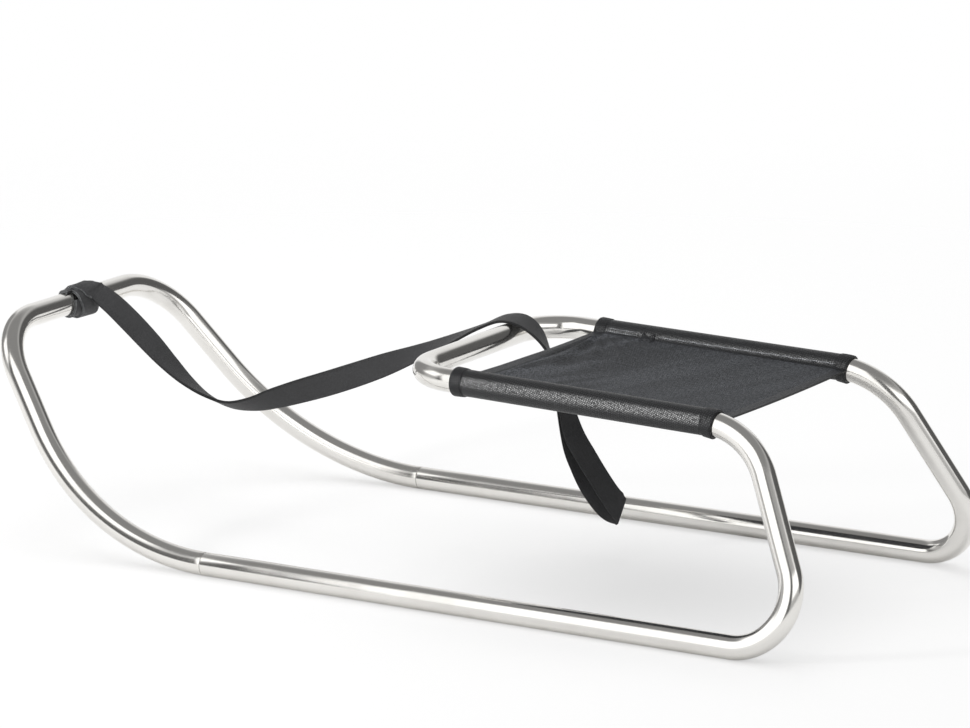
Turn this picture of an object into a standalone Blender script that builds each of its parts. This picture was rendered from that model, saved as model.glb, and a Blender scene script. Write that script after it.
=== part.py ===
"""Recreational luge sled: a bent steel tube frame, a fabric seat sewn round its two rails,
and a doubled webbing strap hitched to the front bow. +X is forward, +Y is left, +Z is up."""

import math

import bmesh
import bpy
from mathutils import Quaternion, Vector

# Frame tube, in metres
TUBE_DIAMETER = 0.025
TUBE_WALL = 0.002
RUNNER_SPACING = 0.4325
RUNNER_STRAIGHT = 0.6215

# Each side of the frame is bent in a plane that leans inwards about its runner
FRONT_LEAN = math.radians(17.65)
REAR_LEAN = math.radians(19.4)

# Upswept front, its crossbar a little lower than the seat's
FRONT_BEND_RADIUS = 0.292
FRONT_BEND_ANGLE = math.radians(53.1)
FRONT_BAR_DROP = 0.0057
BOW_CORNER_RADIUS = 0.081

# Heel, leg and seat rail
HEEL_RADIUS = 0.0565
HEEL_ANGLE = math.radians(116.3)
LEG_STRAIGHT = 0.0985
TOP_RADIUS = 0.086
RAIL_PITCH = math.radians(1.4)
RAIL_STRAIGHT = 0.3
SEAT_CORNER_RADIUS = 0.0545

# Swaged tube joints: one under each seat tunnel and one at the front of each runner
RAIL_JOINT = 0.15
SPIGOT_LENGTH = 0.03
SWAGE_LENGTH = 0.004
FIT = 0.0003

# Seat fabric
FABRIC_THICKNESS = 0.0012
CUFF_LENGTH = 0.012
CUFF_EXTRA = 0.0012
TUNNEL_SETBACK = 0.003
HEM_LENGTH = 0.018
PANEL_LIFT = 0.001
PANEL_SAG = 0.004

# Pull strap: webbing folded in two
WEBBING_WIDTH = 0.025
WEBBING_THICKNESS = 0.0016
HITCH_LAYERS = 4
HITCH_TURNS = 1
HITCH_OFFSET = -0.005

# Middle of the doubled strap from the hitch to the loop's end, chosen by hand:
# x, y, z, and the roll of its flat side about the route in degrees, 0 with the flat side up
STRAP_ROUTE = (
    (0.4717, -0.0064, 0.2309, 30),
    (0.4521, -0.0091, 0.2177, 41),
    (0.4296, -0.0117, 0.1991, 49),
    (0.4079, -0.0146, 0.1793, 40),
    (0.3868, -0.0177, 0.1591, 21),
    (0.3649, -0.0210, 0.1404, 1),
    (0.3411, -0.0248, 0.1255, -17),
    (0.3150, -0.0288, 0.1180, -26),
    (0.2875, -0.0331, 0.1211, -42),
    (0.2590, -0.0373, 0.1308, -65),
    (0.2292, -0.0416, 0.1414, -81),
    (0.1985, -0.0462, 0.1523, -91),
    (0.1675, -0.0510, 0.1642, -101),
    (0.1367, -0.0558, 0.1767, -114),
    (0.1062, -0.0605, 0.1895, -134),
    (0.0765, -0.0652, 0.2029, -151),
    (0.0481, -0.0697, 0.2167, -167),
    (0.0210, -0.0734, 0.2300, -178),
    (-0.0041, -0.0761, 0.2412, -174),
    (-0.0269, -0.0774, 0.2411, -168),
    (-0.0458, -0.0780, 0.2292, -182),
    (-0.0593, -0.0792, 0.2086, -201),
    (-0.0687, -0.0806, 0.1832, -193),
    (-0.0767, -0.0811, 0.1555, -179),
    (-0.0862, -0.0807, 0.1272, -160),
    (-0.0989, -0.0799, 0.0993, -141),
    (-0.1155, -0.0796, 0.0728, -124),
    (-0.1358, -0.0800, 0.0482, -107),
)
STRAP_STEPS = 3

# Facets
TUBE_SIDES = 18
BEND_STEP = math.radians(9)

TUBE_RADIUS = TUBE_DIAMETER / 2
BORE_RADIUS = TUBE_RADIUS - TUBE_WALL
SPIGOT_RADIUS = BORE_RADIUS * math.cos(math.pi / TUBE_SIDES) - FIT
FORWARD = Vector((1, 0, 0))
BACKWARD = -FORWARD
INBOARD = Vector((0, -1, 0))
FRONT_UP = Vector((0, -math.sin(FRONT_LEAN), math.cos(FRONT_LEAN)))
REAR_UP = Vector((0, -math.sin(REAR_LEAN), math.cos(REAR_LEAN)))


def clear_scene():
    """Remove whatever the open file holds."""
    for item in list(bpy.data.objects):
        bpy.data.objects.remove(item, do_unlink=True)


def material(name, colour, roughness, metallic=0.0):
    """A Principled material of one colour."""
    made = bpy.data.materials.new(name)
    made.use_nodes = True
    shader = made.node_tree.nodes["Principled BSDF"]
    shader.inputs["Base Color"].default_value = (*colour, 1.0)
    shader.inputs["Roughness"].default_value = roughness
    shader.inputs["Metallic"].default_value = metallic
    made.diffuse_color = (*colour, 1.0)
    return made


def add_object(name, bm, finish):
    """Turn a bmesh into a named object with outward faces and smooth rounds."""
    bmesh.ops.recalc_face_normals(bm, faces=bm.faces[:])
    mesh = bpy.data.meshes.new(name)
    bm.to_mesh(mesh)
    bm.free()
    mesh.materials.append(finish)
    mesh.shade_smooth()
    mesh.set_sharp_from_angle(angle=math.radians(35))
    item = bpy.data.objects.new(name, mesh)
    bpy.context.collection.objects.link(item)
    return item


def along(path, length):
    """Extend a path of (point, heading) pairs by a straight run."""
    point, heading = path[-1]
    path.append((point + heading * length, heading))


def bend(path, radius, target):
    """Extend a path by an arc that turns it to the target heading."""
    point, heading = path[-1]
    angle = heading.angle(target)
    inward = (target - heading * math.cos(angle)).normalized()
    steps = math.ceil(angle / BEND_STEP)
    for step in range(1, steps + 1):
        turn = angle * step / steps
        offset = heading * math.sin(turn) + inward * (1 - math.cos(turn))
        path.append((point + offset * radius, heading * math.cos(turn) + inward * math.sin(turn)))


def mirrored(path):
    """The same path on the other side, run the other way."""
    return [(Vector((p.x, -p.y, p.z)), Vector((-h.x, h.y, -h.z))) for p, h in reversed(path)]


def turn_towards(start, up, angle):
    """The start heading turned towards up by an angle."""
    return start * math.cos(angle) + up * math.sin(angle)


def front_rise(heading):
    """Straight run between the front bow's bends that brings its crossbar to its height."""
    crossbar_height = seat_half()[-1][0].z - FRONT_BAR_DROP
    bend_height = FRONT_BEND_RADIUS * (1 - math.cos(FRONT_BEND_ANGLE)) * FRONT_UP.z
    corner = BOW_CORNER_RADIUS * math.tan(heading.angle(INBOARD) / 2)
    return (crossbar_height - TUBE_RADIUS - bend_height) / heading.z - corner


def front_half():
    """Left half of the front bow, from the runner joint to the middle of the crossbar."""
    path = [(Vector((RUNNER_STRAIGHT, RUNNER_SPACING / 2, TUBE_RADIUS)), FORWARD)]
    heading = turn_towards(FORWARD, FRONT_UP, FRONT_BEND_ANGLE)
    bend(path, FRONT_BEND_RADIUS, heading)
    along(path, front_rise(heading))
    bend(path, BOW_CORNER_RADIUS, INBOARD)
    along(path, path[-1][0].y)
    return path


def side_path():
    """Left side tube, from the runner joint back round the heel and up to the rail joint."""
    path = [(Vector((RUNNER_STRAIGHT, RUNNER_SPACING / 2, TUBE_RADIUS)), BACKWARD)]
    along(path, RUNNER_STRAIGHT)
    bend(path, HEEL_RADIUS, turn_towards(BACKWARD, REAR_UP, HEEL_ANGLE))
    along(path, LEG_STRAIGHT)
    bend(path, TOP_RADIUS, turn_towards(FORWARD, REAR_UP, RAIL_PITCH))
    along(path, RAIL_JOINT)
    return path


def seat_half():
    """Left half of the seat bow, from the rail joint to the middle of the crossbar."""
    path = side_path()[-1:]
    along(path, RAIL_STRAIGHT - RAIL_JOINT)
    bend(path, SEAT_CORNER_RADIUS, INBOARD)
    along(path, path[-1][0].y)
    return path


def centre_shift():
    """Distance that puts the middle of the frame's length on the origin."""
    front = front_half()[-1][0].x + TUBE_RADIUS
    rear = -HEEL_RADIUS - TUBE_RADIUS
    return Vector((-(front + rear) / 2, 0, 0))


SHIFT = centre_shift()


def framed(path, reference):
    """Rings along a path as (point, across, up), turned from one to the next without twist."""
    point, heading = path[0]
    across = (reference - heading * reference.dot(heading)).normalized()
    rings = [(point, across, heading.cross(across))]
    for (_, before), (point, heading) in zip(path, path[1:]):
        across = before.rotation_difference(heading) @ across
        rings.append((point, across, heading.cross(across)))
    return rings


def ring_points(ring, radius, sides=TUBE_SIDES):
    """The corners of a round section of a ring."""
    point, across, up = ring
    corners = []
    for side in range(sides):
        angle = math.tau * side / sides
        corners.append(point + (across * math.cos(angle) + up * math.sin(angle)) * radius)
    return corners


def moved(ring, distance):
    """A ring moved along its own heading."""
    point, across, up = ring
    return (point + across.cross(up) * distance, across, up)


def skin(bm, loops):
    """Join equal closed loops of vertices, one after another, with quads."""
    for first, second in zip(loops, loops[1:]):
        for index in range(len(first)):
            following = (index + 1) % len(first)
            bm.faces.new((first[index], first[following], second[following], second[index]))


def tube(name, path, reference, spigots, finish):
    """A hollow tube along a path, its ends swaged down to spigots where it has them."""
    rings = framed([(p + SHIFT, h) for p, h in path], reference)
    outer = [(ring, TUBE_RADIUS) for ring in rings]
    inner = [(ring, BORE_RADIUS) for ring in rings]
    if spigots:
        for end, sign in ((0, 1), (-1, -1)):
            shoulder = moved(rings[end], sign * FIT)
            tip = moved(rings[end], -sign * SPIGOT_LENGTH)
            swage = moved(rings[end], sign * SWAGE_LENGTH)
            outside = [(tip, SPIGOT_RADIUS), (shoulder, SPIGOT_RADIUS), (shoulder, TUBE_RADIUS)]
            spigot_bore = SPIGOT_RADIUS - TUBE_WALL
            inside = [(tip, spigot_bore), (shoulder, spigot_bore), (swage, BORE_RADIUS)]
            if end == 0:
                outer[:1] = outside
                inner[:1] = inside
            else:
                outer[-1:] = reversed(outside)
                inner[-1:] = reversed(inside)
    bm = bmesh.new()
    outer_skin, inner_skin = [
        [[bm.verts.new(p) for p in ring_points(ring, radius)] for ring, radius in rows]
        for rows in (outer, inner)]
    skin(bm, outer_skin)
    skin(bm, inner_skin)
    skin(bm, [outer_skin[0], inner_skin[0]])
    skin(bm, [outer_skin[-1], inner_skin[-1]])
    return add_object(name, bm, finish)


def build_frame(steel):
    """The four tubes of the frame."""
    front = front_half()
    tube("front_bow_tube", front + mirrored(front)[1:], FRONT_UP, True, steel)
    left = side_path()
    tube("left_side_tube", left, REAR_UP, False, steel)
    tube("right_side_tube", mirrored(left), Vector((0, -REAR_UP.y, REAR_UP.z)), False, steel)
    seat = seat_half()
    tube("seat_bow_tube", seat + mirrored(seat)[1:], REAR_UP, True, steel)


def tunnel_stations():
    """Left tunnel's stations, front to rear, as (point, heading, is_cuff)."""
    rail = side_path()
    front = seat_half()[1]
    heading = front[1]
    bend_end = rail[-2][0]
    start = front[0] - heading * TUNNEL_SETBACK
    step = FIT
    stations = [(start, heading, True)]
    stations.append((start - heading * CUFF_LENGTH, heading, True))
    stations.append((start - heading * (CUFF_LENGTH + step), heading, False))
    stations.append((start - heading * HEM_LENGTH, heading, False))
    stations.append((start - heading * (HEM_LENGTH + step), heading, False))
    stations.append((bend_end + heading * (HEM_LENGTH - CUFF_LENGTH + step), heading, False))
    stations.append((bend_end + heading * (HEM_LENGTH - CUFF_LENGTH), heading, False))
    stations.append((bend_end + heading * step, heading, False))
    stations.append((bend_end, heading, True))
    stations.append((*rail[-3], True))
    return stations


def cap_tunnel(bm, rim, bore):
    """Close a tunnel's end between its bore and its rim, which starts and ends at the panel."""
    for index in range(len(bore)):
        following = (index + 1) % len(bore)
        bm.faces.new((rim[index], rim[index + 1], bore[following], bore[index]))
    bm.faces.new((rim[-1], rim[0], bore[0]))


def build_seat(fabric):
    """One sheet with a sewn tunnel round each rail, cuffs at the tunnels' ends and two hems."""
    stations = tunnel_stations()
    hems = (0, 1, 2, 3, 6, 7, 8, 9)
    across_count = 7
    bm = bmesh.new()
    outlines = []
    bores = ([], [])
    bore = (TUBE_RADIUS + FIT) / math.cos(math.pi / TUBE_SIDES)
    for index, (point, heading, cuff) in enumerate(stations):
        radius = bore + FABRIC_THICKNESS + (CUFF_EXTRA if cuff else 0)
        half = FABRIC_THICKNESS / 2 * (2 if index in hems else 1)
        centres = (point + SHIFT, Vector((point.x, -point.y, point.z)) + SHIFT)
        loops = []
        for side, centre in zip((1, -1), centres):
            inward = Vector((0, -side, 0))
            up = Vector((-heading.z, 0, heading.x))
            rim = []
            for step in range(TUBE_SIDES):
                angle = math.tau * step / TUBE_SIDES
                rim.append((math.cos(angle), math.sin(angle)))
            bores[0 if side > 0 else 1].append(
                [bm.verts.new(centre + (inward * c + up * s) * bore) for c, s in rim])
            outer = [centre + (inward * c + up * s) * radius for c, s in rim[1:]]
            reach = math.sqrt(radius ** 2 - half ** 2)
            top = centre + inward * reach + up * (PANEL_LIFT + half)
            bottom = centre + inward * reach + up * (PANEL_LIFT - half)
            loops.append((top, outer, bottom))
        (left_top, left_rim, left_bottom), (right_top, right_rim, right_bottom) = loops
        under = []
        over = []
        for step in range(1, across_count):
            share = step / across_count
            sag = Vector((0, 0, -PANEL_SAG * math.sin(math.pi * share)))
            under.append(left_bottom.lerp(right_bottom, share) + sag)
            over.append(right_top.lerp(left_top, share) + sag)
        outline = [left_top, *left_rim, left_bottom, *under]
        outline += [right_bottom, *reversed(right_rim), right_top, *over]
        outlines.append([bm.verts.new(p) for p in outline])
    skin(bm, outlines)
    skin(bm, bores[0])
    skin(bm, bores[1])
    rim_count = TUBE_SIDES - 1
    for end in (0, -1):
        loop = outlines[end]
        left = loop[:rim_count + 2]
        under = loop[rim_count + 2:rim_count + 1 + across_count]
        right = loop[rim_count + 1 + across_count:2 * rim_count + 3 + across_count]
        over = loop[2 * rim_count + 3 + across_count:]
        cap_tunnel(bm, left, bores[0][end])
        cap_tunnel(bm, list(reversed(right)), bores[1][end])
        bottom_line = [left[-1], *under, right[0]]
        top_line = [left[0], *reversed(over), right[-1]]
        for index in range(across_count):
            bm.faces.new((bottom_line[index], bottom_line[index + 1], top_line[index + 1], top_line[index]))
    return add_object("seat_fabric", bm, fabric)


def smooth_route(rows, steps):
    """Points of a smooth curve through rows of numbers, a Catmull-Rom spline."""
    rows = [Vector(row) for row in rows]
    ends = [2 * rows[0] - rows[1], *rows, 2 * rows[-1] - rows[-2]]
    points = []
    for a, b, c, d in zip(ends, ends[1:], ends[2:], ends[3:]):
        for step in range(steps):
            t = step / steps
            points.append(0.5 * (2 * b + (c - a) * t + (2 * a - 5 * b + 4 * c - d) * t ** 2
                                 + (3 * b - a - 3 * c + d) * t ** 3))
    points.append(rows[-1])
    return points


def build_strap(webbing):
    """The hitch round the front crossbar and the doubled band that hangs from it."""
    bar = front_half()[-1][0] + SHIFT
    inner = (TUBE_RADIUS + FIT) / math.cos(math.pi / TUBE_SIDES)
    outer = inner + HITCH_LAYERS * WEBBING_THICKNESS
    half = HITCH_TURNS * WEBBING_WIDTH / 2
    bm = bmesh.new()
    corners = []
    for radius, offset in ((inner, -half), (outer, -half), (outer, half), (inner, half)):
        ring = (bar + Vector((0, HITCH_OFFSET + offset, 0)), FORWARD, Vector((0, 0, 1)))
        corners.append([bm.verts.new(p) for p in ring_points(ring, radius)])
    skin(bm, corners + corners[:1])
    add_object("strap_hitch", bm, webbing)

    route = smooth_route(STRAP_ROUTE, STRAP_STEPS)
    points = [Vector(row[:3]) for row in route]
    rolls = [math.radians(row[3]) for row in route]
    bm = bmesh.new()
    loops = []
    for index, point in enumerate(points):
        before = points[max(index - 1, 0)]
        after = points[min(index + 1, len(points) - 1)]
        heading = (after - before).normalized()
        level = heading.cross(Vector((0, 0, 1))).normalized()
        across = Quaternion(heading, rolls[index]) @ level
        normal = across.cross(heading)
        wide = across * WEBBING_WIDTH / 2
        thick = normal * WEBBING_THICKNESS
        loops.append([bm.verts.new(point + a + b) for a, b in
                      ((wide, thick), (wide, -thick), (-wide, -thick), (-wide, thick))])
    skin(bm, loops)
    bm.faces.new(loops[0])
    bm.faces.new(loops[-1])
    add_object("strap_band", bm, webbing)


def main():
    clear_scene()
    steel = material("steel", (0.60, 0.58, 0.55), 0.22, 1.0)
    fabric = material("seat_mesh_fabric", (0.045, 0.047, 0.052), 0.75)
    webbing = material("webbing", (0.035, 0.035, 0.037), 0.85)
    build_frame(steel)
    build_seat(fabric)
    build_strap(webbing)


main()
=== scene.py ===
"""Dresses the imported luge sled: satin steel tubes, a woven seat and a doubled webbing strap.

Everything is in the row frame, in metres: +X forward, +Y to the sled's left, +Z up.
"""

import logging
import math
from dataclasses import dataclass
from enum import Enum
from typing import Sequence

import bmesh
import bpy
import numpy as np
from mathutils import Matrix, Vector


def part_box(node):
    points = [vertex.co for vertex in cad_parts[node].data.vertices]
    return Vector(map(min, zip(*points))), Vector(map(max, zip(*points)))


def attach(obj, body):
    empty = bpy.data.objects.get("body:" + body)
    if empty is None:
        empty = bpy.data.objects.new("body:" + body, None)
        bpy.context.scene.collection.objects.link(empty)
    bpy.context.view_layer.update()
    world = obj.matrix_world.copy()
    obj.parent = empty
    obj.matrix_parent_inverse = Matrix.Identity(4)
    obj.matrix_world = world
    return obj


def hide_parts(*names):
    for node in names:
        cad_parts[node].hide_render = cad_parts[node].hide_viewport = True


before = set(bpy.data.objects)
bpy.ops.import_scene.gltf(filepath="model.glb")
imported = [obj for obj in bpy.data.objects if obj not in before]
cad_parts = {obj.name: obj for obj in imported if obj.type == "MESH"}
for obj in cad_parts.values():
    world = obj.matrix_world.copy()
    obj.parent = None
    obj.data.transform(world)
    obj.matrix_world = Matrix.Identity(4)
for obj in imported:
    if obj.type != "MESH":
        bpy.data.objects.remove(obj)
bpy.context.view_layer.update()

log = logging.getLogger("sled")

X = np.array((1.0, 0.0, 0.0))
Y = np.array((0.0, 1.0, 0.0))
Z = np.array((0.0, 0.0, 1.0))
BODY = "root"
UV_NAME = "flat_metres"


def unit(vectors: np.ndarray) -> np.ndarray:
    """Scale vectors to length one.

    Args:
        vectors: One vector, or rows of them.

    Returns:
        The same directions, each of length one.
    """
    return vectors / np.linalg.norm(vectors, axis=-1, keepdims=True)


def leaning(start: np.ndarray, up: np.ndarray, degrees: float) -> np.ndarray:
    """The start heading turned towards up.

    Args:
        start: Heading before the turn.
        up: Heading at a right angle to it.
        degrees: How far it turns.

    Returns:
        The new heading.
    """
    angle = math.radians(degrees)
    return start * math.cos(angle) + up * math.sin(angle)


def ease(values: np.ndarray | float, low: float, high: float) -> np.ndarray:
    """A smooth step from 0 at low to 1 at high.

    Args:
        values: Where it is read.
        low: Last value that gives 0.
        high: First value that gives 1.

    Returns:
        The step at each value.
    """
    share = np.clip((np.asarray(values, float) - low) / (high - low), 0.0, 1.0)
    return share * share * (3 - 2 * share)


def smooth_rows(rows: Sequence[Sequence[float]], steps: int) -> np.ndarray:
    """A smooth curve through rows of numbers, a Catmull-Rom spline.

    Args:
        rows: The numbers at each control row.
        steps: Points from one control row to the next.

    Returns:
        One row for each point of the curve.
    """
    given = np.array(rows, float)
    ends = np.vstack((2 * given[0] - given[1], given, 2 * given[-1] - given[-2]))
    a, b, c, d = (part[:, None, :] for part in (ends[:-3], ends[1:-2], ends[2:-1], ends[3:]))
    t = (np.arange(steps) / steps)[None, :, None]
    curve = 0.5 * (2 * b + (c - a) * t + (2 * a - 5 * b + 4 * c - d) * t ** 2
                   + (3 * b - a - 3 * c + d) * t ** 3)
    return np.vstack((curve.reshape(-1, given.shape[1]), given[-1:]))


def run_lengths(points: np.ndarray) -> np.ndarray:
    """Distance along a line of points at each point.

    Args:
        points: Rows of x, y, z.

    Returns:
        Metres from the first point.
    """
    return np.concatenate(((0.0,), np.cumsum(np.linalg.norm(np.diff(points, axis=0), axis=1))))


def hump(values: np.ndarray | float, rise: tuple[float, float], fall: tuple[float, float]) -> np.ndarray:
    """A smooth step up, and later a smooth step down again.

    Args:
        values: Where it is read.
        rise: Where it leaves 0 and where it reaches 1.
        fall: Where it leaves 1 and where it is back at 0.

    Returns:
        The share at each value.
    """
    return ease(values, *rise) * (1 - ease(values, *fall))


def add_object(name: str, data: bpy.types.ID) -> bpy.types.Object:
    """Make an object and link it into the scene.

    Args:
        name: Its name.
        data: Its mesh, camera or lamp.

    Returns:
        The object.
    """
    made = bpy.data.objects.new(name, data)
    bpy.context.scene.collection.objects.link(made)
    return made


class Skin:
    """Collects the points, faces and flat lengths of one mesh."""

    def __init__(self) -> None:
        """Start with no points."""
        self.points: list[np.ndarray] = []
        self.faces: list[list[int]] = []
        self.flat: list[np.ndarray] = []
        self.count = 0

    def loft(self, rings: np.ndarray, flat: np.ndarray) -> np.ndarray:
        """Join closed rings of points with quads, one ring after another.

        Args:
            rings: Points as rings x corners x 3.
            flat: Flat lengths of the corners, with one more corner where the rings close.

        Returns:
            The points' numbers as rings x corners.
        """
        count, corners = rings.shape[:2]
        numbers = np.arange(count * corners).reshape(count, corners) + self.count
        self.points.append(rings.reshape(-1, 3))
        self.count += count * corners
        here = np.arange(corners)
        following = (here + 1) % corners
        quads = np.stack((numbers[:-1][:, here], numbers[:-1][:, following],
                          numbers[1:][:, following], numbers[1:][:, here]), -1)
        self.faces.extend(quads.reshape(-1, 4).tolist())
        spread = np.stack((flat[:-1][:, here], flat[:-1][:, here + 1],
                           flat[1:][:, here + 1], flat[1:][:, here]), 2)
        self.flat.append(spread.reshape(-1, 2))
        return numbers

    def cap(self, ring: np.ndarray, flat: np.ndarray) -> None:
        """Close a ring with one face.

        Args:
            ring: The numbers of its points.
            flat: Their flat lengths.
        """
        self.faces.append(ring.tolist())
        self.flat.append(flat[:len(ring)])

    def bar(self, rings: np.ndarray, flat: np.ndarray) -> None:
        """Join closed rings of points and close both ends.

        Args:
            rings: Points as rings x corners x 3.
            flat: Flat lengths of the corners, with one more corner where the rings close.
        """
        numbers = self.loft(rings, flat)
        for end in (0, -1):
            self.cap(numbers[end], flat[end])

    def piece(self, name: str, finish: bpy.types.Material, slot: str, sharp: float = 40) -> bpy.types.Object:
        """Make the object, with outward faces and flat lengths in its UV map.

        Args:
            name: Name of the piece.
            finish: Its material.
            slot: Not used.
            sharp: Angle in degrees above which an edge isn't smoothed.

        Returns:
            The piece, riding on the frame.
        """
        mesh = bpy.data.meshes.new(name)
        mesh.from_pydata(np.vstack(self.points).tolist(), [], self.faces)
        layer = mesh.uv_layers.new(name=UV_NAME)
        layer.data.foreach_set("uv", np.vstack(self.flat).astype(np.float32).ravel())
        work = bmesh.new()
        work.from_mesh(mesh)
        bmesh.ops.recalc_face_normals(work, faces=work.faces[:])
        work.to_mesh(mesh)
        work.free()
        mesh.shade_smooth()
        mesh.set_sharp_from_angle(angle=math.radians(sharp))
        mesh.materials.append(finish)
        made = add_object(name, mesh)
        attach(made, BODY)
        return made


class Bench:
    """Places shader nodes in one tree and wires them."""

    def __init__(self, tree: bpy.types.NodeTree) -> None:
        """Keep the tree to work in."""
        self.tree = tree
        self.placed = 0

    def node(self, kind: str, inputs: dict[str | int, object] | None = None, **settings: object) -> bpy.types.Node:
        """Add a node.

        Args:
            kind: Blender's name of the node type.
            inputs: Values or sockets for its inputs, by name or number.
            **settings: Properties set on the node itself.

        Returns:
            The node.
        """
        made = self.tree.nodes.new(kind)
        made.location = (self.placed % 12 * 190 - 1600, -(self.placed // 12) * 260)
        self.placed += 1
        for key, value in settings.items():
            setattr(made, key, value)
        for key, value in (inputs or {}).items():
            self.feed(made.inputs[key], value)
        return made

    def feed(self, socket: bpy.types.NodeSocket, value: object) -> None:
        """Link a socket into an input, or write a value there.

        Args:
            socket: The input.
            value: What goes into it.
        """
        if isinstance(value, bpy.types.NodeSocket):
            self.tree.links.new(value, socket)
        else:
            socket.default_value = value

    def math(self, operation: str, *values: object) -> bpy.types.NodeSocket:
        """Add a Math node.

        Args:
            operation: Its operation.
            *values: Numbers or sockets, in order.

        Returns:
            Its output.
        """
        return self.node("ShaderNodeMath", dict(enumerate(values)), operation=operation).outputs[0]

    def times(self, first: object, second: object) -> bpy.types.NodeSocket:
        """The product of two numbers."""
        return self.math("MULTIPLY", first, second)

    def plus(self, first: object, second: object) -> bpy.types.NodeSocket:
        """The sum of two numbers."""
        return self.math("ADD", first, second)

    def minus(self, first: object, second: object) -> bpy.types.NodeSocket:
        """The first number less the second."""
        return self.math("SUBTRACT", first, second)

    def ramp(self, value: object, low: float, high: float, first: object = 0.0,
             last: object = 1.0) -> bpy.types.NodeSocket:
        """Add a smooth Map Range node.

        Args:
            value: What it reads.
            low: Value that gives first.
            high: Value that gives last.
            first: Result at low.
            last: Result at high.

        Returns:
            Its output.
        """
        made = self.node("ShaderNodeMapRange", {"Value": value, "From Min": low, "From Max": high,
                                                "To Min": first, "To Max": last},
                         interpolation_type="SMOOTHSTEP")
        return made.outputs["Result"]

    def mix(self, factor: object, first: object, second: object, blend: str = "MIX") -> bpy.types.NodeSocket:
        """Mix two colours.

        Args:
            factor: Share of the second.
            first: Colour at 0.
            second: Colour at 1.
            blend: How the second is laid over the first.

        Returns:
            The mixed colour.
        """
        made = self.node("ShaderNodeMix", {0: factor, 6: first, 7: second}, data_type="RGBA", blend_type=blend)
        return made.outputs[2]

    def mix_numbers(self, factor: object, first: object, second: object) -> bpy.types.NodeSocket:
        """Mix two numbers, the second at a factor of 1."""
        return self.node("ShaderNodeMix", {0: factor, 2: first, 3: second}, data_type="FLOAT").outputs[0]

    def split(self, vector: object) -> tuple[bpy.types.NodeSocket, ...]:
        """The three numbers of a vector."""
        return tuple(self.node("ShaderNodeSeparateXYZ", {0: vector}).outputs)

    def join(self, x: object, y: object) -> bpy.types.NodeSocket:
        """A flat vector of two numbers."""
        return self.node("ShaderNodeCombineXYZ", {0: x, 1: y}).outputs[0]

    def turned(self, vector: object, angle: float) -> bpy.types.NodeSocket:
        """A flat vector turned by an angle in radians."""
        made = self.node("ShaderNodeVectorRotate", {"Vector": vector, "Angle": angle}, rotation_type="Z_AXIS")
        return made.outputs[0]

    def bump(self, height: object, distance: float, strength: float) -> bpy.types.NodeSocket:
        """Add a Bump node.

        Args:
            height: Height over the surface.
            distance: Metres that a height of 1 stands for.
            strength: Share of the bump that shows.

        Returns:
            The normal.
        """
        made = self.node("ShaderNodeBump", {"Height": height, "Distance": distance, "Strength": strength})
        return made.outputs[0]

    def flat_place(self) -> bpy.types.NodeSocket:
        """Flat lengths over the surface, in metres."""
        return self.node("ShaderNodeUVMap", uv_map=UV_NAME).outputs[0]

    def solid_place(self) -> bpy.types.NodeSocket:
        """The place in the piece's own frame, in metres."""
        return self.node("ShaderNodeTexCoord").outputs["Object"]


class Effect:
    """A shader node group with named inputs and outputs, shared by the finishes."""

    def __init__(self, name: str, inputs: dict[str, float | None], outputs: Sequence[str]) -> None:
        """Make the empty group.

        Args:
            name: The group's name.
            inputs: Each input with its value, or None for a vector.
            outputs: Names of the outputs.
        """
        self.tree = bpy.data.node_groups.new(name, "ShaderNodeTree")
        for label, value in inputs.items():
            kind = "NodeSocketVector" if value is None else "NodeSocketFloat"
            socket = self.tree.interface.new_socket(label, in_out="INPUT", socket_type=kind)
            if value is not None:
                socket.default_value = value
        for label in outputs:
            self.tree.interface.new_socket(label, in_out="OUTPUT", socket_type="NodeSocketFloat")
        self.bench = Bench(self.tree)
        self.given = self.bench.node("NodeGroupInput").outputs
        self.result = self.bench.node("NodeGroupOutput").inputs

    def place(self, bench: Bench, **inputs: object) -> bpy.types.Node:
        """Put the group in a material.

        Args:
            bench: The material's bench.
            **inputs: Values by input name, with _ for a space.

        Returns:
            The group node.
        """
        made = bench.node("ShaderNodeGroup", node_tree=self.tree)
        for label, value in inputs.items():
            bench.feed(made.inputs[label.replace("_", " ")], value)
        return made


class FineGrain(Effect):
    """Fine noise stretched along the surface, as polishing or spinning leaves it."""

    def __init__(self) -> None:
        """Build the group."""
        super().__init__("fine grain", {"Vector": None, "Along": 40.0, "Across": 900.0, "Roughen": 0.5},
                         ("Variation", "Height"))
        bench, given = self.bench, self.given
        u, v, _ = bench.split(given["Vector"])
        place = bench.join(bench.times(u, given["Along"]), bench.times(v, given["Across"]))
        noise = bench.node("ShaderNodeTexNoise", {"Vector": place, "Scale": 1.0, "Detail": 3.0,
                                                  "Roughness": given["Roughen"]}).outputs[0]
        bench.feed(self.result["Variation"], noise)
        bench.feed(self.result["Height"], bench.minus(noise, 0.5))


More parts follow.
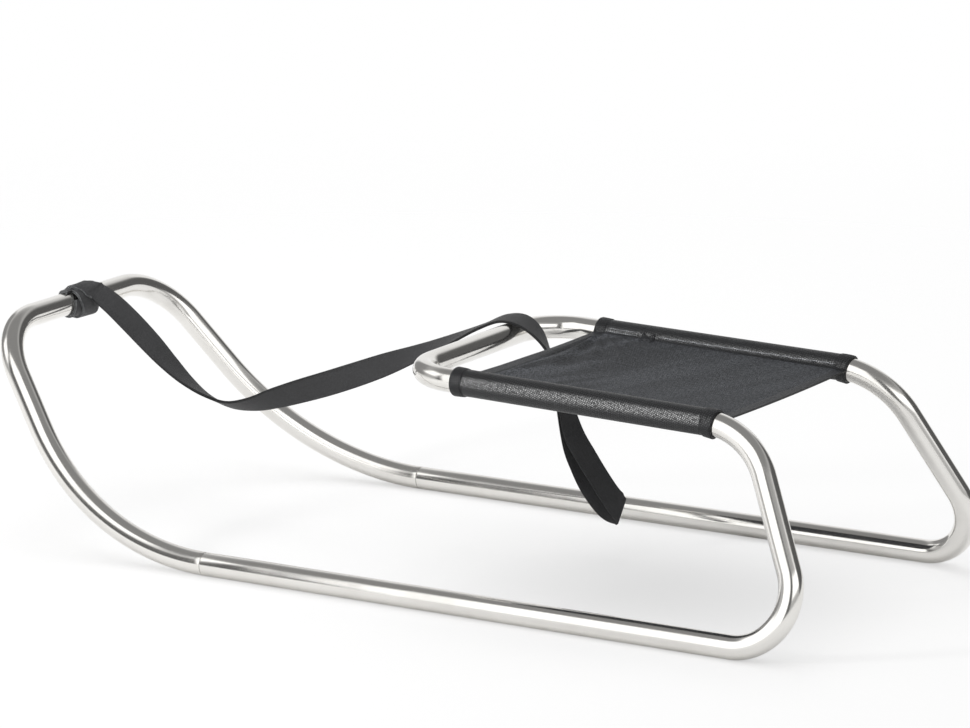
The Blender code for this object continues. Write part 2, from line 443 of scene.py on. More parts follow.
class WovenCloth(Effect):
    """Threads that pass over and under each other, read from flat lengths in metres.

    A thread's crown has a height of its own, and gains some where the thread that it crosses is high.
    """

    UNDER_GAIN, UNDER_HEIGHT = 0.45, 0.3
    OVER_GAIN, OVER_HEIGHT = 0.65, 0.35
    HOLE_DARKNESS = 0.8

    def __init__(self) -> None:
        """Build the group."""
        super().__init__("woven cloth", {"Vector": None, "Pitch Along": 0.0015, "Pitch Across": 0.0015,
                                         "Repeat": 2.0, "Gap": 0.15}, ("Height", "Shade", "Thread"))
        bench, given = self.bench, self.given
        u, v, _ = bench.split(given["Vector"])
        a = bench.math("DIVIDE", u, given["Pitch Along"])
        b = bench.math("DIVIDE", v, given["Pitch Across"])
        step = bench.plus(bench.math("FLOOR", a), bench.math("FLOOR", b))
        over = bench.math("LESS_THAN", bench.math("FLOORED_MODULO", step, given["Repeat"]), 0.5)
        crowns = []
        for value in (a, b):
            centred = bench.minus(bench.times(bench.math("FRACT", value), 2.0), 1.0)
            crowns.append(bench.minus(1.0, bench.times(centred, centred)))
        low = bench.times(crowns[0], bench.plus(bench.times(crowns[1], self.UNDER_GAIN), self.UNDER_HEIGHT))
        high = bench.times(crowns[1], bench.plus(bench.times(crowns[0], self.OVER_GAIN), self.OVER_HEIGHT))
        mixed = bench.plus(bench.times(high, over), bench.times(low, bench.minus(1.0, over)))
        hole = bench.math("LESS_THAN", bench.times(crowns[0], crowns[1]), given["Gap"])
        bench.feed(self.result["Height"], mixed)
        bench.feed(self.result["Shade"], bench.minus(1.0, bench.times(hole, self.HOLE_DARKNESS)))
        bench.feed(self.result["Thread"], over)


class HandlingWear(Effect):
    """Soft patches where hands and snow have dulled or marked a surface."""

    PATCHES = (0.42, 0.68)

    def __init__(self) -> None:
        """Build the group."""
        super().__init__("handling wear", {"Vector": None, "Scale": 9.0, "Amount": 1.0}, ("Mask",))
        bench, given = self.bench, self.given
        cloud = bench.node("ShaderNodeTexNoise", {"Vector": given["Vector"], "Scale": given["Scale"],
                                                  "Detail": 4.0, "Roughness": 0.62}).outputs[0]
        patch = bench.ramp(cloud, *self.PATCHES)
        bench.feed(self.result["Mask"], bench.times(patch, given["Amount"]))


@dataclass(frozen=True)
class Effects:
    """The shared effects, built once."""

    grain: FineGrain
    weave: WovenCloth
    wear: HandlingWear


def blank_material(name: str) -> tuple[bpy.types.Material, Bench, bpy.types.Node]:
    """A material with only its shader.

    Args:
        name: The material's name.

    Returns:
        The material, its bench and its Principled shader.
    """
    made = bpy.data.materials.new(name)
    made.use_nodes = True
    shader = made.node_tree.nodes["Principled BSDF"]
    return made, Bench(made.node_tree), shader


@dataclass(frozen=True)
class SteelFinish:
    """Polished stainless tube with a faint grain along it."""

    name: str = "satin_steel"
    colour: tuple[float, float, float] = (0.80, 0.785, 0.755)
    dull_colour: tuple[float, float, float] = (0.74, 0.722, 0.69)
    gloss: tuple[float, float] = (0.13, 0.24)
    grain_share: float = 0.55
    wear_share: float = 0.45
    dulling: tuple[float, float] = (0.15, 0.9)
    grain_depth: float = 0.00001
    grain_strength: float = 0.35

    def material(self, effects: Effects) -> bpy.types.Material:
        """Build the material.

        Args:
            effects: The shared effects.

        Returns:
            The material.
        """
        made, bench, shader = blank_material(self.name)
        grain = effects.grain.place(bench, Vector=bench.flat_place(), Along=55.0, Across=1400.0, Roughen=0.6)
        wear = effects.wear.place(bench, Vector=bench.solid_place(), Scale=11.0, Amount=0.8).outputs["Mask"]
        bench.feed(shader.inputs["Base Color"], bench.mix(wear, (*self.colour, 1), (*self.dull_colour, 1)))
        dull = bench.plus(bench.times(grain.outputs["Variation"], self.grain_share),
                          bench.times(wear, self.wear_share))
        bench.feed(shader.inputs["Roughness"], bench.ramp(dull, *self.dulling, *self.gloss))
        shader.inputs["Metallic"].default_value = 1.0
        bench.feed(shader.inputs["Normal"],
                   bench.bump(grain.outputs["Height"], self.grain_depth, self.grain_strength))
        return made


@dataclass(frozen=True)
class MeshClothFinish:
    """Coated seat mesh: slanting threads, an open panel painted paler with floor light seen through it, painted
    crease shading on the panel, and a glint on the tunnels' outer sides.

    Each range that a glint field gives is read as low, high, weight at low, weight at high.
    """

    name: str = "seat_mesh"
    colour: tuple[float, float, float] = (0.008, 0.0084, 0.009)
    thread_colour: tuple[float, float, float] = (0.028, 0.029, 0.032)
    # The panel's two colours are painted floor light seen through the open mesh, flecked like the cloth.
    panel_painted_floor_light_dim: tuple[float, float, float] = (0.027, 0.029, 0.033)
    panel_painted_floor_light_bright: tuple[float, float, float] = (0.093, 0.098, 0.108)
    pitch: float = 0.0018
    slant: float = 0.62
    depth: float = 0.00045
    strength: float = 0.9
    grain_height: float = 0.3
    gloss: float = 0.36
    panel_dulling: float = 0.35
    wear_share: float = 0.3
    specular: float = 0.35
    coating: float = 1.0
    coat_ior: float = 4.6
    coat_roughness: float = 0.22
    # The panel's zone, which gets the painted floor light; on the right it reaches past the join onto the tunnel's
    # fillet, so the painted light lifts the fillet's shade. The hems get less of it.
    panel_left: tuple[float, float] = (0.117, 0.121)
    panel_right: tuple[float, float] = (-0.1275, -0.124)
    hems: tuple[float, float] = (0.0145, 0.2955)
    hem_edge: float = 0.0008
    hem_darkness: float = 0.6
    flecks: tuple[float, float] = (0.39, 0.61)
    # Painted crease shading: soft light and dark bands laid into the panel's colour.
    crease_shading_slant: float = -0.3
    crease_shading_bands: tuple[float, float] = (0.36, 0.64)
    crease_shading_fading: tuple[float, float, float, float] = (0.03, 0.2, 1.0, 0.25)
    crease_shading_depth: float = 0.75
    glint_turn: tuple[float, float] = (0.6, 0.95)
    glint_rise: tuple[float, float, float, float] = (-0.3, 0.24, 0.06, 1.0)
    glint_threads: tuple[float, float, float, float] = (0.4, 0.7, 0.12, 1.0)
    glint_grains: tuple[float, float, float, float] = (0.39, 0.57, 0.14, 1.0)

    def panel_and_painted_light_mask(self, bench: Bench, sideways: bpy.types.NodeSocket,
                   length: bpy.types.NodeSocket) -> bpy.types.NodeSocket:
        """1 on the panel's single layer, less on its hems and 0 on the tunnels; it also sets where floor light is
        painted into the colour.

        Args:
            bench: The material's bench.
            sideways: Place across the sled.
            length: Flat length back from the sheet's front edge.

        Returns:
            The mask.
        """
        wide = bench.times(bench.ramp(sideways, *self.panel_left, 1.0, 0.0), bench.ramp(sideways, *self.panel_right))
        front, rear = self.hems
        single = bench.times(bench.ramp(length, front - self.hem_edge, front + self.hem_edge),
                             bench.ramp(length, rear - self.hem_edge, rear + self.hem_edge, 1.0, 0.0))
        return bench.times(wide, bench.plus(bench.times(single, self.hem_darkness), 1 - self.hem_darkness))

    def painted_crease_shading(self, bench: Bench, effects: Effects, flat: bpy.types.NodeSocket,
                     length: bpy.types.NodeSocket, panel: bpy.types.NodeSocket) -> bpy.types.NodeSocket:
        """Painted light and shade in soft bands along the panel's creases, where it is drawn tight, stronger towards
        its front.

        Args:
            bench: The material's bench.
            effects: The shared effects.
            flat: Flat lengths over the cloth.
            length: Flat length back from the sheet's front edge.
            panel: The panel's mask.

        Returns:
            The factor on the colour.
        """
        crease_shading_noise = effects.grain.place(bench, Vector=bench.turned(flat, self.crease_shading_slant), Along=46.0, Across=5.5,
                                     Roughen=0.35)
        soft = bench.minus(bench.ramp(crease_shading_noise.outputs["Variation"], *self.crease_shading_bands), 0.5)
        soft = bench.times(soft, bench.times(bench.ramp(length, *self.crease_shading_fading), panel))
        return bench.plus(bench.times(soft, self.crease_shading_depth), 1.0)

    def glint(self, bench: Bench, threads: bpy.types.NodeSocket, grain: bpy.types.NodeSocket) -> bpy.types.NodeSocket:
        """The coat's weight, broken into dots by the threads.

        Args:
            bench: The material's bench.
            threads: Height of the weave.
            grain: The fine grain over the cloth.

        Returns:
            The weight.
        """
        _, across, up = bench.split(bench.node("ShaderNodeNewGeometry").outputs["Normal"])
        side = bench.times(bench.ramp(bench.math("ABSOLUTE", across), *self.glint_turn),
                           bench.ramp(up, *self.glint_rise))
        dots = bench.times(bench.ramp(threads, *self.glint_threads), bench.ramp(grain, *self.glint_grains))
        return bench.times(bench.times(side, dots), self.coating)

    def material(self, effects: Effects) -> bpy.types.Material:
        """Build the material.

        Args:
            effects: The shared effects.

        Returns:
            The material.
        """
        made, bench, shader = blank_material(self.name)
        flat, place = bench.flat_place(), bench.solid_place()
        weave = effects.weave.place(bench, Vector=bench.turned(flat, self.slant), Pitch_Along=self.pitch,
                                    Pitch_Across=self.pitch, Repeat=2.0, Gap=0.12)
        grain = effects.grain.place(bench, Vector=flat, Along=410.0, Across=410.0, Roughen=0.75)
        fleck = effects.grain.place(bench, Vector=flat, Along=470.0, Across=190.0, Roughen=0.9)
        wear = effects.wear.place(bench, Vector=place, Scale=16.0, Amount=0.5)
        threads, varied = weave.outputs["Height"], grain.outputs["Variation"]
        length = bench.split(flat)[0]
        panel = self.panel_and_painted_light_mask(bench, bench.split(place)[1], length)
        doubled = bench.mix(weave.outputs["Thread"], (*self.colour, 1), (*self.thread_colour, 1))
        # Painted floor light through the open panel, flecked; the doubled tunnels get none.
        single = bench.mix(bench.ramp(fleck.outputs["Variation"], *self.flecks),
                           (*self.panel_painted_floor_light_dim, 1), (*self.panel_painted_floor_light_bright, 1))
        marked = bench.mix(bench.times(wear.outputs["Mask"], self.wear_share),
                           bench.mix(panel, doubled, single), (*self.thread_colour, 1))
        shade = bench.times(bench.times(weave.outputs["Shade"], bench.ramp(varied, 0.2, 0.8, 0.7, 1.3)),
                            self.painted_crease_shading(bench, effects, flat, length, panel))
        bench.feed(shader.inputs["Base Color"], bench.mix(1.0, marked, shade, "MULTIPLY"))
        dull = bench.ramp(varied, 0.25, 0.75, self.gloss - 0.07, self.gloss + 0.12)
        bench.feed(shader.inputs["Roughness"], bench.plus(dull, bench.times(panel, self.panel_dulling)))
        shader.inputs["Specular IOR Level"].default_value = self.specular
        bench.feed(shader.inputs["Coat Weight"], self.glint(bench, threads, varied))
        shader.inputs["Coat IOR"].default_value = self.coat_ior
        shader.inputs["Coat Roughness"].default_value = self.coat_roughness
        height = bench.plus(threads, bench.times(grain.outputs["Height"], self.grain_height))
        bench.feed(shader.inputs["Normal"], bench.bump(height, self.depth, self.strength))
        return made


@dataclass(frozen=True)
class WebbingFinish:
    """Flat woven webbing, ribbed across, with a painted tone along both edges: darker as painted shade on the band,
    paler as a painted highlight on the hitch.
    """

    name: str = "band_webbing"
    colour: tuple[float, float, float] = (0.035, 0.035, 0.037)
    worn_colour: tuple[float, float, float] = (0.085, 0.087, 0.09)
    # Painted edge tone: dark painted shade by default, a pale painted highlight on the hitch.
    painted_edge_light_and_shade: tuple[float, float, float] = (0.014, 0.014, 0.015)
    half_width: float = 0.0125
    painted_edge_reach: tuple[float, float] = (0.0009, 0.0002)
    rib: float = 0.0014
    thread: float = 0.0009
    depth: float = 0.0003
    strength: float = 0.7
    grain_height: float = 0.6
    wear_share: float = 0.35
    shades: tuple[float, float] = (0.62, 1.4)
    gloss: float = 0.72
    sheen: float = 0.12
    sheen_roughness: float = 0.5

    def material(self, effects: Effects) -> bpy.types.Material:
        """Build the material.

        Args:
            effects: The shared effects.

        Returns:
            The material.
        """
        made, bench, shader = blank_material(self.name)
        flat = bench.flat_place()
        weave = effects.weave.place(bench, Vector=flat, Pitch_Along=self.rib, Pitch_Across=self.thread,
                                    Repeat=2.0, Gap=0.05)
        grain = effects.grain.place(bench, Vector=flat, Along=420.0, Across=520.0, Roughen=0.7)
        wear = effects.wear.place(bench, Vector=bench.solid_place(), Scale=20.0, Amount=0.3)
        varied = grain.outputs["Variation"]
        # The painted edge tone along both edges.
        inner, outer = (self.half_width - into for into in self.painted_edge_reach)
        edge = bench.ramp(bench.math("ABSOLUTE", bench.split(flat)[1]), inner, outer)
        marked = bench.mix(bench.times(wear.outputs["Mask"], self.wear_share),
                           (*self.colour, 1), (*self.worn_colour, 1))
        shade = bench.times(weave.outputs["Shade"], bench.ramp(varied, 0.25, 0.75, *self.shades))
        bench.feed(shader.inputs["Base Color"],
                   bench.mix(1.0, bench.mix(edge, marked, (*self.painted_edge_light_and_shade, 1)), shade, "MULTIPLY"))
        bench.feed(shader.inputs["Roughness"], bench.ramp(varied, 0.2, 0.8, self.gloss - 0.08, self.gloss + 0.12))
        shader.inputs["Sheen Weight"].default_value = self.sheen
        shader.inputs["Sheen Roughness"].default_value = self.sheen_roughness
        height = bench.plus(weave.outputs["Height"], bench.times(grain.outputs["Height"], self.grain_height))
        bench.feed(shader.inputs["Normal"], bench.bump(height, self.depth, self.strength))
        return made


class TubeLine:
    """A tube's centreline, grown from straight runs and bends."""

    def __init__(self, point: np.ndarray, heading: np.ndarray) -> None:
        """Start at a point with a heading."""
        self.points = [np.array(point, float)]
        self.headings = [unit(np.array(heading, float))]

    def run(self, length: float, pieces: int = 1) -> "TubeLine":
        """Go straight on.

        Args:
            length: How far.
            pieces: In how many steps.

        Returns:
            The line itself.
        """
        start, heading = self.points[-1], self.headings[-1]
        for step in range(1, pieces + 1):
            self.points.append(start + heading * length * step / pieces)
            self.headings.append(heading)
        return self

    def turn(self, radius: float, target: np.ndarray, step: float = 2.5) -> "TubeLine":
        """Bend to a new heading.

        Args:
            radius: Radius of the bend.
            target: Heading after it.
            step: Largest turn in degrees between two points.

        Returns:
            The line itself.
        """
        start, heading = self.points[-1], self.headings[-1]
        target = unit(target)
        angle = math.acos(float(np.clip(heading @ target, -1, 1)))
        inward = unit(target - heading * math.cos(angle))
        count = math.ceil(math.degrees(angle) / step)
        for turned in (angle * index / count for index in range(1, count + 1)):
            self.points.append(start + (heading * math.sin(turned) + inward * (1 - math.cos(turned))) * radius)
            self.headings.append(heading * math.cos(turned) + inward * math.sin(turned))
        return self

    def arrays(self) -> tuple[np.ndarray, np.ndarray]:
        """The points and the headings as arrays."""
        return np.array(self.points), np.array(self.headings)

    def mirrored(self) -> "TubeLine":
        """Mirror the line.

        Returns:
            The same line on the sled's other side, run the other way.
        """
        flipped = TubeLine(self.points[-1] * (1, -1, 1), self.headings[-1] * (-1, 1, -1))
        flipped.points = [point * (1, -1, 1) for point in reversed(self.points)]
        flipped.headings = [heading * (-1, 1, -1) for heading in reversed(self.headings)]
        return flipped


class TubeEnd(Enum):
    """How a tube ends at a joint."""

    OPEN = "open bore"
    SPIGOT = "swaged spigot"


class Side(Enum):
    """A side of the sled, by the sign of its Y."""

    LEFT = 1
    RIGHT = -1


@dataclass
class TubeFrame:
    """The frame: two side tubes, the front bow and the seat bow.

    Lengths are in metres and angles in degrees.
    """

    diameter: float = 0.025
    wall: float = 0.002
    runner_spacing: float = 0.4325
    runner_straight: float = 0.6215
    front_lean: float = 17.65
    rear_lean: float = 19.4
    front_bend_radius: float = 0.292
    front_bend_angle: float = 53.1
    front_bar_drop: float = 0.0057
    bow_corner_radius: float = 0.081
    heel_radius: float = 0.0565
    heel_angle: float = 116.3
    leg_straight: float = 0.0985
    top_radius: float = 0.086
    rail_pitch: float = 1.4
    rail_straight: float = 0.3
    seat_corner_radius: float = 0.0545
    rail_joint: float = 0.15
    joint_gap: float = 0.0003
    spigot_length: float = 0.03
    spigot_nose: float = 0.001
    bore_shown: float = 0.034
    rim: tuple[tuple[float, float], ...] = ((0.0009, 0.0), (0.0004, 0.0001), (0.0001, 0.0004), (0.0, 0.0008))
    chamfer: float = 0.0003
    sides: int = 56

    def __post_init__(self) -> None:
        """Work out the leaning planes and the frame's place."""
        self.radius = self.diameter / 2
        tilt = math.radians(self.front_lean), math.radians(self.rear_lean)
        self.front_up, self.rear_up = (np.array((0.0, -math.sin(a), math.cos(a))) for a in tilt)
        self.leg_heading = leaning(-X, self.rear_up, self.heel_angle)
        self.rail_heading = leaning(X, self.rear_up, self.rail_pitch)
        self.shift = np.zeros(3)
        front = self.front_half().points[-1][0] + self.radius
        self.shift = X * -(front - self.heel_radius - self.radius) / 2

    def runner_joint(self) -> np.ndarray:
        """Middle of the left runner's joint."""
        return np.array((self.runner_straight, self.runner_spacing / 2, self.radius)) + self.shift

    def side_line(self) -> TubeLine:
        """Left side tube, from the runner joint round the heel to the rail joint.

        Returns:
            Its centreline.
        """
        line = TubeLine(self.runner_joint(), -X).run(self.runner_straight, 10)
        line.turn(self.heel_radius, self.leg_heading).run(self.leg_straight, 2)
        return line.turn(self.top_radius, self.rail_heading).run(self.rail_joint, 3)

    def seat_half(self) -> TubeLine:
        """Left half of the seat bow, from the rail joint to the middle of its crossbar.

        Returns:
            Its centreline.
        """
        end = self.side_line()
        line = TubeLine(end.points[-1], end.headings[-1])
        line.run(self.rail_straight - self.rail_joint, 3).turn(self.seat_corner_radius, -Y)
        return line.run(line.points[-1][1], 3)

    def front_half(self) -> TubeLine:
        """Left half of the front bow, from the runner joint to the middle of its crossbar.

        Returns:
            Its centreline.
        """
        heading = leaning(X, self.front_up, self.front_bend_angle)
        corner = self.bow_corner_radius * math.tan(math.acos(float(heading @ -Y)) / 2)
        drop = 1 - math.cos(math.radians(self.front_bend_angle))
        bend_height = self.front_bend_radius * drop * self.front_up[2]
        height = self.seat_half().points[-1][2] - self.front_bar_drop
        rise = (height - self.radius - bend_height) / heading[2] - corner
        line = TubeLine(self.runner_joint(), X).turn(self.front_bend_radius, heading, 1.5)
        line.run(rise, 2).turn(self.bow_corner_radius, -Y)
        return line.run(line.points[-1][1], 3)

    def crossbar(self) -> np.ndarray:
        """Middle of the front bow's crossbar."""
        return self.front_half().points[-1]

    def rail_back(self, side: Side) -> TubeLine:
        """A seat rail from the front back into the bend of its leg.

        Args:
            side: Which rail.

        Returns:
            Its centreline.
        """
        flip = np.array((1, side.value, 1))
        front = (self.side_line().points[-1] + self.rail_heading * (self.rail_straight - self.rail_joint)) * flip
        line = TubeLine(front, -self.rail_heading * flip).run(self.rail_straight, 60)
        return line.turn(self.top_radius, -self.leg_heading * flip, 1.5)

    def end_profile(self, end: TubeEnd) -> list[tuple[float, float]]:
        """The section of a tube's end, from its outside to its inside.

        Args:
            end: How it ends.

        Returns:
            Pairs of distance into the tube and radius.
        """
        bore, gap = self.radius - self.wall, self.joint_gap
        start, mouth = (0.0, bore) if end is TubeEnd.OPEN else (gap, bore - gap)
        rim = [(start + into, self.radius - cut) for into, cut in self.rim]
        rim.append((start, mouth + self.chamfer))
        if end is TubeEnd.OPEN:
            return [*rim, (self.chamfer, bore), (self.bore_shown, bore)]
        return [*rim, (start - self.chamfer, mouth), (self.spigot_nose - self.spigot_length, mouth),
                (-self.spigot_length, mouth - self.spigot_nose)]

    def tube(self, name: str, line: TubeLine, reference: np.ndarray, end: TubeEnd,
             finish: bpy.types.Material) -> bpy.types.Object:
        """One tube with rounded rims at its ends.

        Args:
            name: Name of the piece.
            line: Its centreline.
            reference: Direction that its section starts from.
            end: How both ends are made.
            finish: Its material.

        Returns:
            The tube.
        """
        points, headings = line.arrays()
        lengths = run_lengths(points)
        across = [unit(reference - headings[0] * (reference @ headings[0]))]
        for heading in headings[1:]:
            across.append(unit(across[-1] - heading * (across[-1] @ heading)))
        ups = np.cross(headings, np.array(across))
        profile = self.end_profile(end)
        stations = [(0, into, radius) for into, radius in reversed(profile)]
        stations += [(index, 0.0, self.radius) for index in range(1, len(points) - 1)]
        stations += [(len(points) - 1, -into, radius) for into, radius in profile]
        angles = np.linspace(0, math.tau, self.sides + 1)
        rings, flat = [], []
        for index, along, radius in stations:
            spokes = np.outer(np.cos(angles), across[index]) + np.outer(np.sin(angles), ups[index])
            rings.append((points[index] + headings[index] * along + spokes * radius)[:-1])
            flat.append(np.stack((np.full(self.sides + 1, lengths[index] + along), angles * self.radius), 1))
        skin = Skin()
        skin.bar(np.array(rings), np.array(flat))
        return skin.piece(name, finish, "frame_steel", 50)

    def build(self, finish: bpy.types.Material) -> list[bpy.types.Object]:
        """Build the four tubes in place of the CAD ones.

        Args:
            finish: The steel.

        Returns:
            The tubes.
        """
        made = []
        for label, half, up in (("front_bow", self.front_half(), self.front_up),
                                ("seat_bow", self.seat_half(), self.rear_up)):
            other = half.mirrored()
            half.points += other.points[1:]
            half.headings += other.headings[1:]
            made.append(self.tube(f"polished_{label}", half, up, TubeEnd.SPIGOT, finish))
            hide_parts(f"{label}_tube")
        left = self.side_line()
        for label, line, up in (("left_side", left, self.rear_up),
                                ("right_side", left.mirrored(), self.rear_up * (1, -1, 1))):
            made.append(self.tube(f"polished_{label}", line, up, TubeEnd.OPEN, finish))
            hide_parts(f"{label}_tube")
        return made


@dataclass(frozen=True)
class TunnelEnds:
    """Where a seat tunnel starts and stops along its rail, from the rail's front end."""

    front: float
    rear: float


@dataclass(frozen=True)
class Crease:
    """A soft crease of the panel: its bearing and width in degrees, its height and reach in metres."""

    bearing: float
    width: float
    height: float
    reach: float


@dataclass(frozen=True)
class Bead:
    """A raised seam on a tunnel's inner side.

    It runs from first to last, as shares of the tunnel's length, at a share of the curve up from the panel.
    """

    side: Side
    first: float
    last: float
    place: float
    stout: float = 1.0


@dataclass
class FabricSeat:
    """The seat: one sheet with a sewn tunnel round each rail, cuffs, hems, raised seams and a tuck.

    Lengths are in metres and angles in degrees. Stations are shares of the sheet's length, and a place between
    panel and tunnel is a share of the curve that joins them, 0 at the panel.
    """

    tubes: TubeFrame
    thickness: float = 0.0012
    clearance: float = 0.0003
    lift: float = 0.001
    sag: float = 0.004
    sag_roundness: float = 0.9
    slack_places: tuple[float, ...] = (0.0, 0.35, 0.7, 1.0)
    slack: tuple[float, ...] = (0.5, 1.0, 0.9, 0.35)
    edge_share: float = 0.05
    join: float = 0.0062
    leave: float = 40.0
    fillet_pull: float = 0.42
    left: TunnelEnds = TunnelEnds(0.0076, 0.3126)
    right: TunnelEnds = TunnelEnds(0.0166, 0.3152)
    lining: tuple[float, float] = (0.31, 0.08)
    cuff_length: float = 0.0135
    cuff_extra: float = 0.0014
    cuff_wave: float = 0.018
    front_hem: float = 0.015
    rear_hem: float = 0.010
    hem_edge: float = 0.003
    hem_share: float = 0.45
    hem_groove: tuple[float, float] = (0.0007, 0.0016)
    ridge_place: float = 0.026
    ridge_width: float = 0.007
    ridge_height: float = 0.0032
    ridge_reach: float = 0.06
    corner: tuple[float, float] = (0.012, -0.128)
    corner_clear: tuple[float, float] = (0.004, 0.03)
    creases: tuple[Crease, ...] = (
        Crease(10, 4, 0.0046, 0.26),
        Crease(24, 5, 0.0034, 0.22),
        Crease(40, 6, 0.0040, 0.18),
        Crease(62, 8, 0.0030, 0.12),
        Crease(-2, 3, 0.0020, 0.2),
    )
    beads: tuple[Bead, ...] = (
        Bead(Side.RIGHT, 0.045, 0.175, 0.88, 0.7),
        Bead(Side.RIGHT, 0.045, 0.175, 0.60, 0.7),
        Bead(Side.RIGHT, 0.262, 0.965, 0.74),
        Bead(Side.LEFT, 0.045, 0.965, 0.62, 0.8),
    )
    slope_step: float = 0.01
    seam_width: float = 0.0019
    seam_flatness: float = 0.9
    seam_taper: tuple[float, float] = (0.25, 0.02)
    wander: tuple[tuple[float, float, float], ...] = ((0.012, 37.0, 0.0), (0.008, 91.0, 1.0))
    tuck_side: Side = Side.RIGHT
    tuck_place: float = 0.22
    tuck_length: float = 0.0165
    tuck_middle: float = 0.42
    tuck_waist: float = 0.30
    tuck_flare: float = 0.38
    tuck_height: float = 0.0010
    tuck_root: float = 0.0004
    tuck_ribs: float = 9.4
    stations: int = 150
    around: int = 44
    across: int = 72
    cuff_sides: int = 64
    bead_stations: int = 100
    bead_sides: int = 12
    tuck_stations: int = 25
    tuck_sides: int = 17

    def __post_init__(self) -> None:
        """Keep both rails' centrelines and the sheet's main sizes."""
        self.rails = {side: self.tubes.rail_back(side).arrays() for side in Side}
        self.bore = self.tubes.radius + self.clearance
        self.outer = self.bore + self.thickness
        self.length = self.left.rear - self.left.front

    def rail_point(self, side: Side, distance: np.ndarray | float) -> tuple[np.ndarray, np.ndarray]:
        """Points and headings on a rail's centreline.

        Args:
            side: Which rail.
            distance: Distances back from the rail's front end.

        Returns:
            The points and the headings, which run backward.
        """
        points, headings = self.rails[side]
        lengths = run_lengths(points)
        distance = np.atleast_1d(distance)
        found = [np.stack([np.interp(distance, lengths, rows[:, axis]) for axis in range(3)], 1)
                 for rows in (points, headings)]
        before = np.minimum(distance, 0)[:, None] * headings[0]
        return found[0] + before, unit(found[1])

    def ends(self, side: Side) -> TunnelEnds:
        """The ends of a side's tunnel."""
        return self.left if side is Side.LEFT else self.right

    def tunnel_axis(self, side: Side, shares: np.ndarray) -> tuple[np.ndarray, np.ndarray, np.ndarray]:
        """A tunnel's axis and the directions of its section.

        Args:
            side: Which tunnel.
            shares: Shares of its length.

        Returns:
            Points on the axis, the direction towards the panel and the upward directions.
        """
        ends = self.ends(side)
        centres, headings = self.rail_point(side, ends.front + (ends.rear - ends.front) * shares)
        inward = np.array((0.0, -side.value, 0.0))
        up = unit(np.cross(headings, inward))
        return centres, inward, up * np.sign(up[:, 2])[:, None]

    def tunnel_half(self, radius: float, upper: bool) -> np.ndarray:
        """Half of a tunnel's outline, from the panel round to the outside, as inward and up.

        Args:
            radius: The tunnel's outer radius.
            upper: Whether it is the upper half.

        Returns:
            Rows of inward and up distances from the rail's axis.
        """
        side = 1 if upper else -1
        angles = np.linspace(math.radians(self.leave), math.pi, self.around // 2 + 1)
        rows = np.vstack((self.fillet(radius, side, np.linspace(0, 1, 9)[:-1]),
                          np.stack((np.cos(angles), np.sin(angles)), 1) * radius))
        return rows * (1, side)

    def fillet(self, radius: float, side: int, shares: np.ndarray) -> np.ndarray:
        """The curve from the panel's face up to the tunnel's round, as inward and up.

        Args:
            radius: The tunnel's outer radius.
            side: 1 above the panel, -1 below it.
            shares: Shares of the curve, 0 at the panel.

        Returns:
            Rows of inward and up distances, with up counted away from the panel.
        """
        leave = math.radians(self.leave)
        first = np.array((math.cos(leave), math.sin(leave))) * radius
        tangent = np.array((math.sin(leave), -math.cos(leave)))
        last = np.array((radius + self.join, side * self.lift + self.thickness / 2))
        pull = radius * self.fillet_pull
        t = np.asarray(shares, float)[:, None]
        return ((1 - t) ** 3 * last + 3 * (1 - t) ** 2 * t * (last - (pull, 0))
                + 3 * (1 - t) * t ** 2 * (first + tangent * pull) + t ** 3 * first)

    def hem_step(self, shares: np.ndarray) -> np.ndarray:
        """Extra thickness of the folded hems.

        Args:
            shares: Shares of the panel's length.

        Returns:
            1 on a hem and 0 between them.
        """
        front, rear = self.front_hem / self.length, 1 - self.rear_hem / self.length
        inner, outer = front - self.hem_edge, front + self.hem_edge
        return (1 - ease(shares, inner, outer)) + ease(shares, rear - self.hem_edge, rear + self.hem_edge)

    def crease_height(self, x: np.ndarray, y: np.ndarray) -> np.ndarray:
        """Height of the panel's soft creases.

        Args:
            x: Distance back from the panel's front edge.
            y: Distance to the left of the middle.

        Returns:
            Height in metres.
        """
        height = self.ridge_height * np.exp(-((x - self.ridge_place) / self.ridge_width) ** 2)
        height *= ease(y, -self.ridge_reach, self.ridge_reach)
        depth, width = self.hem_groove
        height -= depth * np.exp(-((x - self.front_hem) / width) ** 2)
        corner_x, corner_y = self.corner
        reach = np.hypot(x - corner_x, y - corner_y)
        angle = np.degrees(np.arctan2(x - corner_x, y - corner_y))
        for crease in self.creases:
            fade = hump(reach, self.corner_clear, (crease.reach * 0.4, crease.reach))
            height += crease.height * np.exp(-((angle - crease.bearing) / crease.width) ** 2) * fade
        return height

    def panel_rows(self, upper: bool, shares: np.ndarray, left: np.ndarray, right: np.ndarray) -> np.ndarray:
        """Rows of the panel's face between the two tunnels' joins.

        Args:
            upper: Whether it is the top face.
            shares: Share of the length at each station.
            left: The left join at each station.
            right: The right join at each station.

        Returns:
            Points as stations x across x 3, without the joins themselves.
        """
        share = np.linspace(0, 1, self.across + 1)[1:-1]
        rows = left[:, None] + (right - left)[:, None] * share[None, :, None]
        x = np.broadcast_to(shares[:, None] * self.length, rows.shape[:2])
        soft = np.sin(np.pi * share) ** self.sag_roundness
        slack = np.interp(shares, self.slack_places, self.slack)
        drop = -self.sag * soft[None, :] * slack[:, None]
        edge = ease(np.minimum(share, 1 - share), 0.0, self.edge_share)[None, :]
        fold = self.crease_height(x, rows[..., 1]) * edge
        thick = self.hem_step(shares)[:, None] * self.thickness * self.hem_share * (1 if upper else -1)
        rows[..., 2] += drop + fold + thick
        return rows

    def station_shares(self) -> np.ndarray:
        """Where the sheet's cross sections stand, closer together at both edges and both hems.

        Returns:
            Shares of the sheet's length.
        """
        return np.unique(np.concatenate((
            np.linspace(0, 1, self.stations), 0.004 * np.arange(6), 1 - 0.003 * np.arange(6),
            np.linspace(0.036, 0.062, 10), np.linspace(0.955, 0.978, 8))))

